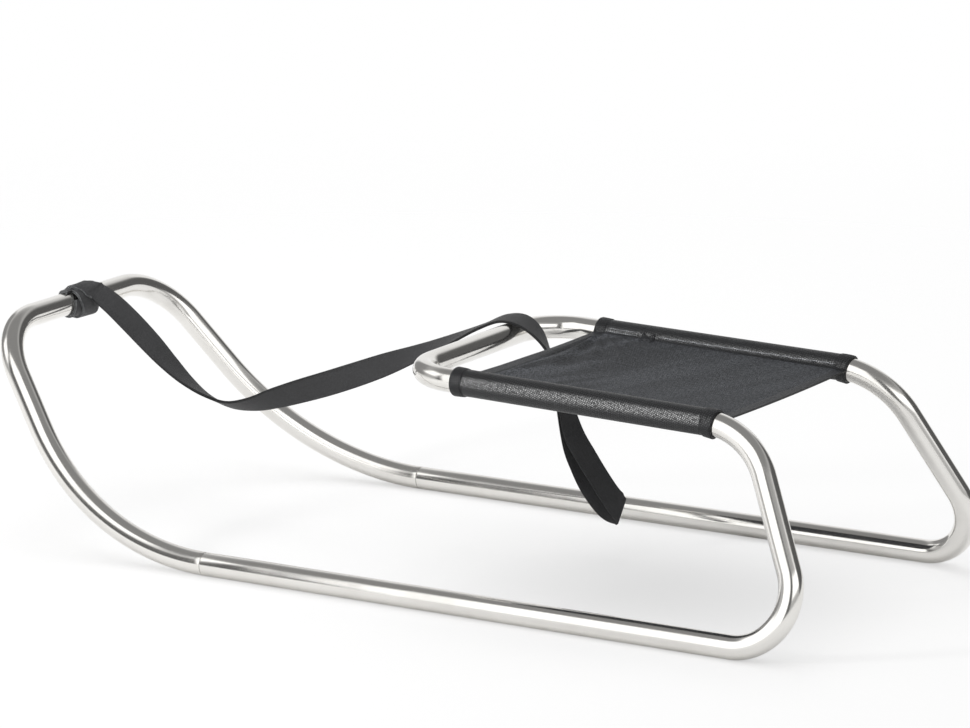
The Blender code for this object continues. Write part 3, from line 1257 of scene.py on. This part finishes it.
    def sheet(self, finish: bpy.types.Material) -> bpy.types.Object:
        """The sheet: panel and tunnels in one closed skin.

        Args:
            finish: The seat mesh.

        Returns:
            The sheet.
        """
        shares = self.station_shares()
        sections = {}
        for side in Side:
            centres, inward, up = self.tunnel_axis(side, shares)
            for upper in (True, False):
                rows = self.tunnel_half(self.outer, upper)
                place = centres[:, None] + rows[None, :, :1] * inward + rows[None, :, 1:] * up[:, None]
                sections[side, upper] = place
        left_top, left_under = sections[Side.LEFT, True], sections[Side.LEFT, False]
        right_top, right_under = sections[Side.RIGHT, True], sections[Side.RIGHT, False]
        top = self.panel_rows(True, shares, left_top[:, 0], right_top[:, 0])
        under = self.panel_rows(False, shares, left_under[:, 0], right_under[:, 0])
        outline = np.concatenate((left_top, left_under[:, ::-1][:, 1:], under, right_under,
                                  right_top[:, ::-1][:, 1:], top[:, ::-1]), 1)
        skin = Skin()
        girth = np.linalg.norm(np.roll(outline, -1, 1) - outline, axis=2)
        wide = np.concatenate((np.zeros((len(shares), 1)), np.cumsum(girth, 1)), 1)
        flat = np.stack((np.broadcast_to((shares * self.length)[:, None], wide.shape), wide), 2)
        numbers = skin.loft(outline, flat)
        counts = [part.shape[1] for part in (left_top, left_under, under, right_under, right_top, top)]
        self.close_ends(skin, numbers, outline, counts, shares)
        made = skin.piece("seat_sheet", finish, "seat_mesh", 55)
        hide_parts("seat_fabric")
        return made

    def close_ends(self, skin: Skin, numbers: np.ndarray, outline: np.ndarray, counts: Sequence[int],
                   shares: np.ndarray) -> None:
        """Close the sheet's front and rear edges and line the tunnels.

        Args:
            skin: The skin being built.
            numbers: The outline's point numbers.
            outline: The outline's points.
            counts: How many points each part of the outline has.
            shares: Share of the length at each station.
        """
        left_count = counts[0] + counts[1] - 1
        right_start = left_count + counts[2]
        top_start = right_start + counts[3] + counts[4] - 1
        left_rim, right_rim = list(range(left_count)), list(range(right_start, top_start))
        for rim, side in ((left_rim, Side.LEFT), (right_rim, Side.RIGHT)):
            centres = self.tunnel_axis(side, shares)[0][:, None]
            length, girth = self.lining
            flat = np.zeros((len(shares), len(rim) + 1, 2))
            flat[..., 0] = shares[:, None] * length
            flat[..., 1] = np.linspace(0, girth, len(rim) + 1)
            inner = skin.loft(centres + unit(outline[:, rim] - centres) * self.bore, flat)
            for end in (0, -1):
                outer_ring, inner_ring = numbers[end][rim], inner[end]
                for index in range(len(rim) - 1):
                    skin.cap(np.array((outer_ring[index], outer_ring[index + 1],
                                       inner_ring[index + 1], inner_ring[index])), flat[0])
                skin.cap(np.array((outer_ring[-1], outer_ring[0], inner_ring[0], inner_ring[-1])), flat[0])
        below = [left_rim[-1], *range(left_count, right_start), right_rim[0]]
        above = [0, *reversed(range(top_start, top_start + counts[5])), right_rim[-1]]
        for end in (0, -1):
            for index in range(len(below) - 1):
                quad = (below[index], below[index + 1], above[index + 1], above[index])
                skin.cap(numbers[end][list(quad)], np.zeros((4, 2)))

    def cuffs(self, finish: bpy.types.Material) -> bpy.types.Object:
        """The turned-back sleeves at the tunnels' four ends.

        Args:
            finish: The darker cuff cloth.

        Returns:
            The cuffs as one piece.
        """
        skin = Skin()
        angles = np.linspace(0, math.tau, self.cuff_sides + 1)
        spokes_left, spokes_up = np.cos(angles), np.sin(angles)
        over, inner, length = self.outer + self.cuff_extra, self.bore + 0.0002, self.cuff_length
        mouth = ((0.0008, inner), (0.0, inner + 0.0006), (-0.0003, (inner + over) / 2))
        face = ((0.0002, over - 0.0004), (0.0012, over), (0.35 * length, over - 0.0001),
                (0.7 * length, over - 0.0003), (0.92 * length, over - 0.0006))
        back = ((length, self.outer + 0.0001), (length, inner + 0.0003), (0.5 * length, inner))
        section = [(*row, part is face) for part in (mouth, face, back) for row in part]
        for side in Side:
            ends = self.ends(side)
            for place, way in ((ends.front, 1), (ends.rear, -1)):
                wave = self.cuff_wave * np.sin(3 * angles + place * 40)
                rings, flat = [], []
                for into, radius, waves in section:
                    centre, heading = (row[0] for row in self.rail_point(side, place + way * into))
                    up = unit(np.cross(heading, Y))
                    up *= np.sign(up[2])
                    spokes = np.outer(spokes_left, Y) + np.outer(spokes_up, up)
                    rings.append((centre + spokes * radius * (1 + wave * waves)[:, None])[:-1])
                    flat.append(np.stack((np.full(len(angles), into), angles * radius), 1))
                rings.append(rings[0])
                flat.append(flat[0])
                skin.loft(np.array(rings), np.array(flat))
        return skin.piece("seat_cuffs", finish, "seat_mesh", 50)

    def seam(self, skin: Skin, bead: Bead) -> None:
        """Add a narrow raised seam along a tunnel's inner side.

        Args:
            skin: The skin it is added to.
            bead: Where it runs.
        """
        shares = np.linspace(bead.first, bead.last, self.bead_stations)
        centres, inward, up = self.tunnel_axis(bead.side, shares)
        wander = np.full_like(shares, bead.place)
        for reach, rate, phase in self.wander:
            wander += reach * np.sin(shares * rate + phase)
        spots = self.fillet(self.outer, 1, wander)
        slopes = unit(self.fillet(self.outer, 1, wander + self.slope_step) - spots)
        middle = centres + spots[:, :1] * inward + spots[:, 1:] * up
        along = slopes[:, :1] * inward + slopes[:, 1:] * up
        proud = slopes[:, 1:] * inward - slopes[:, :1] * up
        angles = np.linspace(0, math.tau, self.bead_sides + 1)
        least, length = self.seam_taper
        full = ease(np.minimum(shares - bead.first, bead.last - shares), 0.0, length)
        taper = (least + (1 - least) * full)[:, None, None]
        half = self.seam_width * bead.stout / 2
        wide = np.cos(angles)[None, :, None] * along[:, None] * half
        tall = np.sin(angles)[None, :, None] * proud[:, None] * half * self.seam_flatness
        rings = middle[:, None] + taper * (wide + tall)
        flat = np.stack(np.broadcast_arrays((shares * self.length)[:, None], angles * half), 2)
        skin.bar(rings[:, :-1], flat)

    def tuck(self, skin: Skin) -> None:
        """Add the gathered tuck across the right tunnel's seam, wide at its ends and drawn in at its middle.

        Args:
            skin: The skin it is added to.
        """
        ends = self.ends(self.tuck_side)
        steps = np.linspace(-1, 1, self.tuck_stations)
        spread = np.linspace(-1, 1, self.tuck_sides)
        shares = self.tuck_place + steps * self.tuck_length / 2 / (ends.rear - ends.front)
        centres, inward, up = self.tunnel_axis(self.tuck_side, shares)
        rings, flat = [], []
        for step, centre, rise in zip(steps, centres, up):
            out = abs(step)
            half = self.tuck_waist + self.tuck_flare * out ** 1.4 * (1 - out ** 9)
            places = self.tuck_middle + spread * half
            spots = self.fillet(self.outer, 1, places)
            slopes = unit(self.fillet(self.outer, 1, places + self.slope_step) - spots)
            proud = np.stack((slopes[:, 1], -slopes[:, 0]), 1)
            proud *= np.sign(proud[:, :1] + proud[:, 1:])
            ribs = self.tuck_root * np.cos(spread * self.tuck_ribs) * out
            crown = self.tuck_height * (1 + (1 - out) ** 0.5) + ribs
            crown *= (1 - np.abs(spread) ** 6) * (1 - out ** 12)
            ring = np.vstack((spots + proud * crown[:, None], (spots - proud * self.tuck_root)[::-1]))
            rings.append(centre + ring[:, :1] * inward + ring[:, 1:] * rise)
            around = np.linspace(0, 0.03, len(ring) + 1)
            flat.append(np.stack((np.full_like(around, step * 0.008), around), 1))
        skin.bar(np.array(rings), np.array(flat))

    def seams(self, seam: bpy.types.Material, cuff: bpy.types.Material) -> list[bpy.types.Object]:
        """The raised seams along both tunnels, and the tuck in the right one.

        Args:
            seam: The seams' cloth, painted pale as a highlight.
            cuff: The tuck's dark cloth.

        Returns:
            The two pieces.
        """
        beads, tuck = Skin(), Skin()
        for bead in self.beads:
            self.seam(beads, bead)
        self.tuck(tuck)
        return [beads.piece("seat_seams", seam, "seat_mesh", 50), tuck.piece("seat_tuck", cuff, "seat_mesh", 50)]

    def build(self, cloth: bpy.types.Material, cuff: bpy.types.Material,
              seam: bpy.types.Material) -> list[bpy.types.Object]:
        """Build the seat in place of the CAD one.

        Args:
            cloth: The seat mesh.
            cuff: The cuffs' cloth.
            seam: The seams' cloth, painted pale as a highlight.

        Returns:
            The seat's pieces, the sheet first.
        """
        sheet, cuffs, seams = self.sheet(cloth), self.cuffs(cuff), self.seams(seam, cuff)
        return [sheet, cuffs, *seams]


@dataclass
class PullStrap:
    """The strap: a webbing loop folded in two, hitched round the front crossbar.

    A row of route is a point and the band's roll in degrees. A row of loop or wrap_outer is a point and the
    direction of the width, and wrap_outer is counted from the middle of the crossbar.
    """

    tubes: TubeFrame
    width: float = 0.025
    layer: float = 0.0015
    layer_gap: float = 0.00006
    ripple: float = 0.0001
    ripple_rate: float = 46.0
    ripple_rise: tuple[float, float] = (0.05, 0.2)
    ripple_fall: tuple[float, float] = (0.45, 0.52)
    slide: float = 0.0012
    slide_rise: tuple[float, float] = (0.2, 0.34)
    slide_fall: tuple[float, float] = (0.46, 0.56)
    parting: float = 0.0009
    parting_length: float = 0.06
    least_lean: float = 0.88
    fold_reach: tuple[float, float] = (0.007, 0.026)
    route: tuple[tuple[float, float, float, float], ...] = (
        (0.4717, -0.0064, 0.2309, 30),
        (0.4521, -0.0091, 0.2177, 41),
        (0.4296, -0.0117, 0.1991, 49),
        (0.4079, -0.0146, 0.1793, 40),
        (0.3868, -0.0177, 0.1591, 21),
        (0.3649, -0.0210, 0.1404, 1),
        (0.3411, -0.0248, 0.1255, -17),
        (0.3150, -0.0288, 0.1180, -26),
        (0.2875, -0.0331, 0.1211, -42),
        (0.2590, -0.0373, 0.1308, -65),
        (0.2292, -0.0416, 0.1414, -81),
        (0.1985, -0.0462, 0.1523, -91),
        (0.1675, -0.0510, 0.1642, -101),
        (0.1367, -0.0558, 0.1767, -114),
        (0.1062, -0.0605, 0.1895, -134),
        (0.0765, -0.0652, 0.2029, -151),
        (0.0481, -0.0697, 0.2167, -167),
        (0.0210, -0.0734, 0.2300, -178),
        (-0.0041, -0.0761, 0.2412, -174),
        (-0.0269, -0.0774, 0.2411, -168),
        (-0.0458, -0.0780, 0.2292, -182),
        (-0.0593, -0.0792, 0.2086, -201),
        (-0.0687, -0.0806, 0.1832, -193),
        (-0.0767, -0.0811, 0.1555, -179),
        (-0.0862, -0.0807, 0.1272, -160),
        (-0.0989, -0.0799, 0.0993, -141),
        (-0.1155, -0.0796, 0.0728, -124),
        (-0.1358, -0.0800, 0.0482, -107),
    )
    route_steps: int = 10
    loop_from: int = 23
    loop_roll: float = 12.0
    loop: tuple[tuple[float, float, float, float, float, float], ...] = (
        (-0.0898, -0.0790, 0.1249, -0.385, -0.879, 0.281),
        (-0.1047, -0.0785, 0.1028, -0.401, -0.835, 0.377),
        (-0.1194, -0.0787, 0.0830, -0.319, -0.851, 0.418),
        (-0.1326, -0.0796, 0.0655, -0.259, -0.785, 0.562),
        (-0.1408, -0.0812, 0.0551, -0.200, -0.560, 0.804),
        (-0.1444, -0.0826, 0.0497, -0.164, -0.342, 0.926),
        (-0.1450, -0.0853, 0.0460, -0.164, -0.342, 0.926),
        (-0.1408, -0.0856, 0.0440, -0.164, -0.342, 0.926),
        (-0.1333, -0.0840, 0.0455, -0.190, -0.460, 0.868),
        (-0.1242, -0.0821, 0.0523, -0.220, -0.690, 0.690),
        (-0.1098, -0.0817, 0.0685, -0.255, -0.741, 0.622),
        (-0.0962, -0.0806, 0.0887, -0.187, -0.929, 0.321),
        (-0.0861, -0.0806, 0.1126, -0.260, -0.937, 0.235),
    )
    loop_fold: tuple[float, float, float] = (-0.1450, -0.0853, 0.0460)
    loop_middle: tuple[tuple[float, float, float], ...] = (
        (-0.0886, -0.0795, 0.1190),
        (-0.1016, -0.0791, 0.0960),
        (-0.1147, -0.0809, 0.0745),
        (-0.1280, -0.0812, 0.0573),
        (-0.1380, -0.0839, 0.0497),
        (-0.1440, -0.0850, 0.0462),
    )
    wrap_outer: tuple[tuple[float, float, float, float, float, float], ...] = (
        (-0.01685, -0.0030, 0.0146, 0.135, 0.943, -0.302),
        (-0.0104, -0.0016, 0.0170, 0.06, 0.985, -0.16),
        (-0.0056, 0.0012, 0.0183, 0.02, 0.996, -0.08),
        (-0.0016, 0.0024, 0.0186, 0.0, 0.998, -0.05),
        (0.0008, 0.0034, 0.0166, 0.0, 0.998, -0.05),
        (-0.0014, 0.0042, 0.0145, 0.0, 0.998, -0.05),
        (-0.0062, 0.0054, 0.0139, 0.0, 1.0, -0.03),
        (-0.0109, 0.0064, 0.0118, 0.0, 1.0, 0.0),
        (-0.0157, 0.0070, 0.0073, 0.0, 1.0, 0.0),
        (-0.0177, 0.0037, 0.0000, 0.0, 0.98, -0.2),
        (-0.0160, -0.0008, -0.0075, 0.1, 0.98, -0.15),
        (-0.0107, -0.0040, -0.0137, 0.1, 0.99, 0.0),
        (-0.0024, -0.0056, -0.0171, 0.0, 1.0, 0.0),
        (0.0073, -0.0064, -0.0156, 0.0, 1.0, 0.0),
        (0.0149, -0.0068, -0.0086, 0.0, 1.0, 0.0),
        (0.0172, -0.0068, 0.0000, 0.0, 1.0, 0.0),
        (0.0149, -0.0065, 0.0086, 0.0, 1.0, 0.0),
        (0.0084, -0.0062, 0.0150, 0.0, 1.0, 0.0),
    )
    wrap_gap: float = 0.0001
    wrap_steps: int = 8
    wrap_inner_radius: float = 0.0143
    wrap_inner_points: int = 90
    wrap_inner_soft: int = 6
    wrap_inner_angles: tuple[float, float] = (108.0, -205.0)
    wrap_inner_places: tuple[tuple[float, float], ...] = (
        (108, 0.0148), (80, 0.0125), (45, 0.0060), (0, 0.0050), (-90, 0.0080), (-150, 0.0128), (-180, 0.0136),
        (-205, 0.0110),
    )

    def section(self) -> np.ndarray:
        """The webbing's section, with rounded edges.

        Returns:
            Rows of across and out distances.
        """
        half, thick = self.width / 2, self.layer / 2
        inner = half - thick
        flat = np.linspace(-inner, inner, 9)
        turn = np.radians((60, 20, -20, -60))
        top = np.stack((flat, np.full(9, thick)), 1)
        right = np.stack((inner + np.cos(turn) * thick, np.sin(turn) * thick), 1)
        return np.vstack((top, right, -top, -right))

    def ribbon(self, skin: Skin, centres: np.ndarray, across: np.ndarray, out: np.ndarray) -> None:
        """Add one layer of webbing.

        Args:
            skin: The skin it is added to.
            centres: Its middle line.
            across: Direction of its width at each point.
            out: Direction of its thickness at each point.
        """
        section = self.section()
        rings = centres[:, None] + section[None, :, :1] * across[:, None] + section[None, :, 1:] * out[:, None]
        around = np.append(section[:, 0], section[0, 0])
        skin.bar(rings, np.stack(np.broadcast_arrays(run_lengths(centres)[:, None], around), 2))

    def middle(self) -> tuple[np.ndarray, np.ndarray, np.ndarray]:
        """The doubled band from the hitch to where its layers part.

        Returns:
            Its middle line, its width directions and its outward directions.
        """
        given = np.array(self.route[:self.loop_from + 1])
        roll = np.concatenate(((given[0, 3],), given[:, 3], (given[-1, 3] + self.loop_roll,)))
        rows = np.vstack((self.wrap_outer[0][:3] + self.tubes.crossbar(), given[:, :3], self.loop_middle[0]))
        curve = smooth_rows(np.column_stack((rows, roll)), self.route_steps)
        points = curve[:, :3]
        headings = unit(np.gradient(points, axis=0))
        level = unit(np.cross(headings, Z))
        roll = np.radians(curve[:, 3])[:, None]
        across = level * np.cos(roll) + np.cross(headings, level) * np.sin(roll)
        kept = slice(self.route_steps, -self.route_steps)
        return points[kept], across[kept], np.cross(across, headings)[kept]

    def slanted(self, widths: np.ndarray, headings: np.ndarray) -> np.ndarray:
        """Width directions that lie aslant to the webbing's run, lengthened to keep its width.

        Args:
            widths: Direction of the width at each point.
            headings: Direction of the run at each point.

        Returns:
            The width directions.
        """
        lean = np.linalg.norm(np.cross(unit(widths), headings), axis=1, keepdims=True)
        return unit(widths) / np.maximum(lean, self.least_lean)

    def band(self, finish: bpy.types.Material) -> bpy.types.Object:
        """Both layers of the band and the open hand loop at its end.

        Args:
            finish: The webbing.

        Returns:
            The band.
        """
        points, across, out = self.middle()
        lengths = run_lengths(points)
        ripple = self.ripple * np.abs(np.sin(lengths * self.ripple_rate))
        ripple *= hump(lengths, self.ripple_rise, self.ripple_fall)
        parting = self.parting * ease(lengths, lengths[-1] - self.parting_length, lengths[-1])
        apart = (self.layer / 2 + self.layer_gap + ripple + parting)[:, None]
        slide = (self.slide * hump(lengths, self.slide_rise, self.slide_fall))[:, None]
        near = points - out * apart - across * slide
        far = points + out * apart + across * slide
        step = self.route_steps
        rows = np.vstack((np.hstack((near[[-1 - step, -1]], across[[-1 - step, -1]])), self.loop,
                          np.hstack((far[[-1, -1 - step]], across[[-1, -1 - step]]))))
        loop = smooth_rows(rows, step)[step + 1:-step - 1]
        line = np.vstack((near, loop[:, :3], far[::-1]))
        widths = np.vstack((across, loop[:, 3:], across[::-1]))
        headings = unit(np.gradient(line, axis=0))
        square = unit(widths - headings * (widths * headings).sum(1, keepdims=True))
        folded = 1 - ease(np.linalg.norm(line - self.loop_fold, axis=1, keepdims=True), *self.fold_reach)
        widths = square * (1 - folded) + self.slanted(widths, headings) * folded
        skin = Skin()
        self.ribbon(skin, line, widths, unit(np.cross(widths, headings)))
        made = skin.piece("webbing_band", finish, "strap_webbing", 50)
        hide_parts("strap_band")
        return made

    def wrap(self, skin: Skin, rows: np.ndarray) -> None:
        """Add a stretch of the hitch, as two layers of webbing.

        Args:
            skin: The skin it is added to.
            rows: Its middle line and its width directions.
        """
        line = rows[:, :3]
        headings = unit(np.gradient(line, axis=0))
        across = self.slanted(rows[:, 3:], headings)
        out = unit(np.cross(across, headings))
        for layer in (1, -1):
            self.ribbon(skin, line + out * layer * (self.layer / 2 + self.wrap_gap), across, out)

    def hitch(self, finish: bpy.types.Material) -> bpy.types.Object:
        """The hitch: an inner wrap round the crossbar, and the band folded back over it.

        Args:
            finish: The webbing.

        Returns:
            The hitch.
        """
        bar = self.tubes.crossbar()
        points, across, _ = self.middle()
        outer = np.array(self.wrap_outer)
        outer[:, :3] += bar
        first, second = (np.hstack((points[index], across[index])) for index in (self.route_steps, 0))
        turned = np.sign(across[0] @ Y)
        rows = np.vstack((first, second, outer * (1, 1, 1, turned, turned, turned)))
        skin = Skin()
        self.wrap(skin, smooth_rows(rows, self.wrap_steps)[self.wrap_steps:])
        angles = np.linspace(*self.wrap_inner_angles, self.wrap_inner_points)
        given = np.array(self.wrap_inner_places)[::-1]
        place = np.interp(angles, given[:, 0], given[:, 1])
        window = 2 * self.wrap_inner_soft + 1
        place = np.convolve(np.pad(place, self.wrap_inner_soft, mode="edge"), np.ones(window) / window, "valid")
        turn = np.radians(angles)
        ring = np.stack((np.cos(turn) * self.wrap_inner_radius, place, np.sin(turn) * self.wrap_inner_radius), 1)
        self.wrap(skin, np.hstack((ring + bar, np.broadcast_to(Y, ring.shape))))
        made = skin.piece("webbing_hitch", finish, "strap_webbing", 50)
        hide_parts("strap_hitch")
        return made

    def build(self, finish: bpy.types.Material, folded: bpy.types.Material) -> list[bpy.types.Object]:
        """Build the strap in place of the CAD one.

        Args:
            finish: The band's webbing.
            folded: The hitch's webbing, with a painted highlight along its edges.

        Returns:
            The band and the hitch.
        """
        band, hitch = self.band(finish), self.hitch(folded)
        path = np.vstack((self.middle()[0][::3], self.loop_middle))
        return [band, hitch]


@dataclass(frozen=True)
class SoftBox:
    """A patch of the studio that shows in the steel.

    Bearings are in degrees from beyond the sled towards the picture's left, heights above the floor.
    """

    bearing: float
    half_width: float
    height: float
    half_height: float
    level: float
    soft: float = 8.0


@dataclass(frozen=True)
class Lamp:
    """A square soft lamp aimed at the sled.

    Its bearing is counted as a SoftBox's, and its level is the share of plain light on a surface that faces it.
    """

    name: str
    bearing: float
    height: float
    distance: float
    size: float
    level: float


@dataclass
class Studio:
    """Floor, surroundings, lamps and camera.

    Heights in the surroundings are degrees above the floor, and levels are shares of plain white light.
    """

    camera_place: tuple[float, float, float] = (-2.8191, 4.6846, 1.4478)
    forward: tuple[float, float, float] = (0.49925, -0.83767, -0.22150)
    focal_pixels: float = 5319.3
    picture_width: float = 970.0
    sensor: float = 36.0
    floor_colour: tuple[float, float, float] = (0.74, 0.74, 0.74)
    floor_shown: tuple[float, float, float] = (1.0, 1.0, 1.0)
    floor_reach: float = 9.0
    floor_drop: float = 0.0002
    floor_fading: tuple[float, float] = (0.9, 2.6)
    floor_share: float = 0.5
    floor_glow: float = 0.98
    horizon: float = 0.02
    soft_light: tuple[float, float] = (0.38, 0.93)
    soft_light_height: float = 75.0
    wall_level: float = 0.5
    ceiling: float = 0.27
    ceiling_heights: tuple[float, float] = (38.0, 56.0)
    card_level: float = 1.45
    boxes: tuple[SoftBox, ...] = (
        SoftBox(-5, 26, 12, 24, 0.95, 12),
        SoftBox(-70, 32, 16, 21, 0.11, 12),
        SoftBox(45, 27, 18, 19, 0.28, 9),
        SoftBox(112, 10, 12, 22, 0.13, 7),
        SoftBox(80, 18, 33, 13, 1.50, 7),
        SoftBox(138, 13, 15, 46, 1.4, 8),
        SoftBox(172, 22, 20, 26, 0.15, 7),
        SoftBox(-135, 31, 26, 12, 1.60, 6),
    )
    lamps: tuple[Lamp, ...] = (
        Lamp("key_softbox", 112, 20, 3.2, 0.5, 0.28),
        Lamp("back_softbox", 8, 57, 3.4, 1.4, 0.12),
        Lamp("top_softbox", 60, 80, 3.6, 2.6, 0.14),
    )
    card_corners: tuple[tuple[float, float, float], ...] = (
        (0.74, 1.5, 0.02), (-1.0, 1.5, 0.02), (-1.0, 1.5, 2.9), (1.66, 1.5, 2.9))

    def view_bearing(self) -> float:
        """Compass angle of the camera's view, in radians from +X towards +Y."""
        return math.atan2(self.forward[1], self.forward[0])

    def camera(self) -> bpy.types.Object:
        """Add the camera.

        Returns:
            The camera, set as the scene's own.
        """
        data = bpy.data.cameras.new("viewpoint")
        data.sensor_width = self.sensor
        data.sensor_fit = "HORIZONTAL"
        data.lens = self.focal_pixels / self.picture_width * self.sensor
        data.clip_end = 60
        made = add_object("viewpoint", data)
        back = -Vector(self.forward).normalized()
        right = Vector((0, 0, 1)).cross(back).normalized()
        turned = Matrix((right, back.cross(right), back)).transposed().to_4x4()
        made.matrix_world = Matrix.Translation(self.camera_place) @ turned
        bpy.context.scene.camera = made
        return made

    def surroundings(self) -> None:
        """Light the scene softly, show white behind it and the studio's patches in the steel."""
        world = bpy.data.worlds.new("studio")
        world.use_nodes = True
        bpy.context.scene.world = world
        bench = Bench(world.node_tree)
        world.node_tree.nodes.clear()
        x, y, z = bench.split(bench.node("ShaderNodeTexCoord").outputs["Generated"])
        bearing = bench.minus(bench.math("ARCTAN2", y, x), self.view_bearing())
        height = bench.math("ARCSINE", z)
        level = bench.ramp(height, *map(math.radians, self.ceiling_heights), self.wall_level, self.ceiling)
        for box in self.boxes:
            turn = bench.math("WRAP", bench.minus(bearing, math.radians(box.bearing)), math.pi, -math.pi)
            aside = bench.math("ABSOLUTE", turn)
            above = bench.math("ABSOLUTE", bench.minus(height, math.radians(box.height)))
            soft = math.radians(box.soft) / 2
            wide, tall = math.radians(box.half_width), math.radians(box.half_height)
            mask = bench.times(bench.ramp(aside, wide - soft, wide + soft, 1.0, 0.0),
                               bench.ramp(above, tall - soft, tall + soft, 1.0, 0.0))
            rest = bench.times(level, bench.minus(1.0, mask))
            level = bench.plus(rest, bench.times(mask, box.level))
        level = bench.times(level, bench.ramp(height, -self.horizon, self.horizon))
        level = bench.plus(level, bench.ramp(height, -self.horizon, self.horizon, self.floor_glow, 0.0))
        rays = bench.node("ShaderNodeLightPath").outputs
        soft = bench.ramp(height, 0.0, math.radians(self.soft_light_height), *self.soft_light)
        shown = bench.mix_numbers(rays["Is Glossy Ray"], soft, level)
        strength = bench.mix_numbers(rays["Is Camera Ray"], shown, 1.0)
        sky = bench.node("ShaderNodeBackground", {"Color": (1, 1, 1, 1), "Strength": strength})
        output = bench.node("ShaderNodeOutputWorld")
        bench.feed(output.inputs["Surface"], sky.outputs[0])

    def flat_stage(self, name: str, corners: Sequence[Sequence[float]],
                   finish: bpy.types.Material) -> bpy.types.Object:
        """Add a flat four-cornered piece of the studio.

        Args:
            name: Its name.
            corners: Its corners in order.
            finish: Its material.

        Returns:
            The piece, which isn't part of the sled.
        """
        mesh = bpy.data.meshes.new(name)
        mesh.from_pydata(corners, [], [(0, 1, 2, 3)])
        mesh.materials.append(finish)
        made = add_object(name, mesh)
        return made

    def floor(self) -> bpy.types.Object:
        """Add the pale floor, which fades into the white behind the sled.

        Returns:
            The floor.
        """
        finish, bench, shader = blank_material("pale_floor")
        away = bench.node("ShaderNodeVectorMath", {0: bench.solid_place()}, operation="LENGTH").outputs["Value"]
        shader.inputs["Roughness"].default_value = 0.9
        shader.inputs["Specular IOR Level"].default_value = 0.0
        rays = bench.node("ShaderNodeLightPath").outputs
        seen = bench.math("MAXIMUM", rays["Is Camera Ray"], rays["Is Glossy Ray"])
        bench.feed(shader.inputs["Base Color"],
                   bench.mix(seen, (*self.floor_colour, 1), (*self.floor_shown, 1)))
        white = bench.node("ShaderNodeEmission", {"Color": (1, 1, 1, 1), "Strength": 1.0})
        bright = bench.node("ShaderNodeMixShader", {0: bench.times(rays["Is Camera Ray"], self.floor_share),
                                                    1: shader.outputs[0], 2: white.outputs[0]})
        clear = bench.node("ShaderNodeBsdfTransparent")
        fade = bench.node("ShaderNodeMixShader", {0: bench.ramp(away, *self.floor_fading),
                                                  1: bright.outputs[0], 2: clear.outputs[0]})
        bench.feed(finish.node_tree.nodes["Material Output"].inputs["Surface"], fade.outputs[0])
        reach = self.floor_reach
        made = self.flat_stage("studio_floor", [(-reach, -reach, 0), (reach, -reach, 0), (reach, reach, 0),
                                                (-reach, reach, 0)], finish)
        made.location.z = -self.floor_drop
        return made

    def card(self) -> bpy.types.Object:
        """Add the tall bright card that shows only in the steel and the coated cloth.

        Returns:
            The card.
        """
        finish = bpy.data.materials.new("card_glow")
        finish.use_nodes = True
        bench = Bench(finish.node_tree)
        finish.node_tree.nodes.clear()
        glow = bench.node("ShaderNodeEmission", {"Color": (1, 1, 1, 1), "Strength": self.card_level})
        output = bench.node("ShaderNodeOutputMaterial")
        bench.feed(output.inputs["Surface"], glow.outputs[0])
        made = self.flat_stage("softbox_card", self.card_corners, finish)
        made.visible_camera = False
        made.visible_diffuse = False
        made.visible_shadow = False
        return made

    def light(self, lamp: Lamp) -> bpy.types.Object:
        """Add a lamp.

        Args:
            lamp: Its place and level.

        Returns:
            The lamp.
        """
        data = bpy.data.lights.new(lamp.name, "AREA")
        data.shape = "SQUARE"
        data.size = lamp.size
        data.energy = lamp.level * math.pi ** 2 * lamp.distance ** 2
        made = add_object(lamp.name, data)
        around, up = math.radians(lamp.bearing) + self.view_bearing(), math.radians(lamp.height)
        aim = Vector((math.cos(up) * math.cos(around), math.cos(up) * math.sin(around), math.sin(up)))
        made.location = aim * lamp.distance
        made.rotation_euler = aim.to_track_quat("Z", "Y").to_euler()
        made.visible_glossy = False
        return made

    def build(self) -> None:
        """Add everything round the sled."""
        self.camera()
        self.surroundings()
        self.floor()
        self.card()
        for lamp in self.lamps:
            self.light(lamp)


def main() -> None:
    """Build the sled's pieces and the studio, and report each."""
    logging.basicConfig(level=logging.INFO, format="%(name)s: %(message)s")
    bpy.context.scene.view_settings.view_transform = "Standard"
    effects = Effects(FineGrain(), WovenCloth(), HandlingWear())
    steel = SteelFinish().material(effects)
    cloth = MeshClothFinish().material(effects)
    cuff = MeshClothFinish(name="cuff_cloth", colour=(0.007, 0.0073, 0.008), thread_colour=(0.032, 0.033, 0.036),
                           pitch=0.0017, depth=0.0006, gloss=0.5, coating=0.25).material(effects)
    # The raised seams' pale colour is a painted highlight.
    seam = MeshClothFinish(name="seam_painted_highlight", colour=(0.10, 0.103, 0.11), thread_colour=(0.34, 0.35, 0.37),
                           pitch=0.0019, depth=0.0003, gloss=0.3).material(effects)
    # The band's darker edges are painted shade; the hitch's paler edges are a painted highlight.
    webbing = WebbingFinish().material(effects)
    folded = WebbingFinish(name="hitch_webbing_painted_edge_highlight", painted_edge_light_and_shade=(0.15, 0.155, 0.16)).material(effects)
    tubes = TubeFrame()
    seat = FabricSeat(tubes)
    strap = PullStrap(tubes)
    pieces = tubes.build(steel) + seat.build(cloth, cuff, seam) + strap.build(webbing, folded)
    for piece in pieces:
        log.info("%s: %d faces", piece.name, len(piece.data.polygons))
    _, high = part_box("front_bow_tube")
    log.info("front bow reaches x %.4f, the CAD one x %.4f", tubes.crossbar()[0] + tubes.radius, high.x)
    Studio().build()


if __name__ == "__main__":
    main()
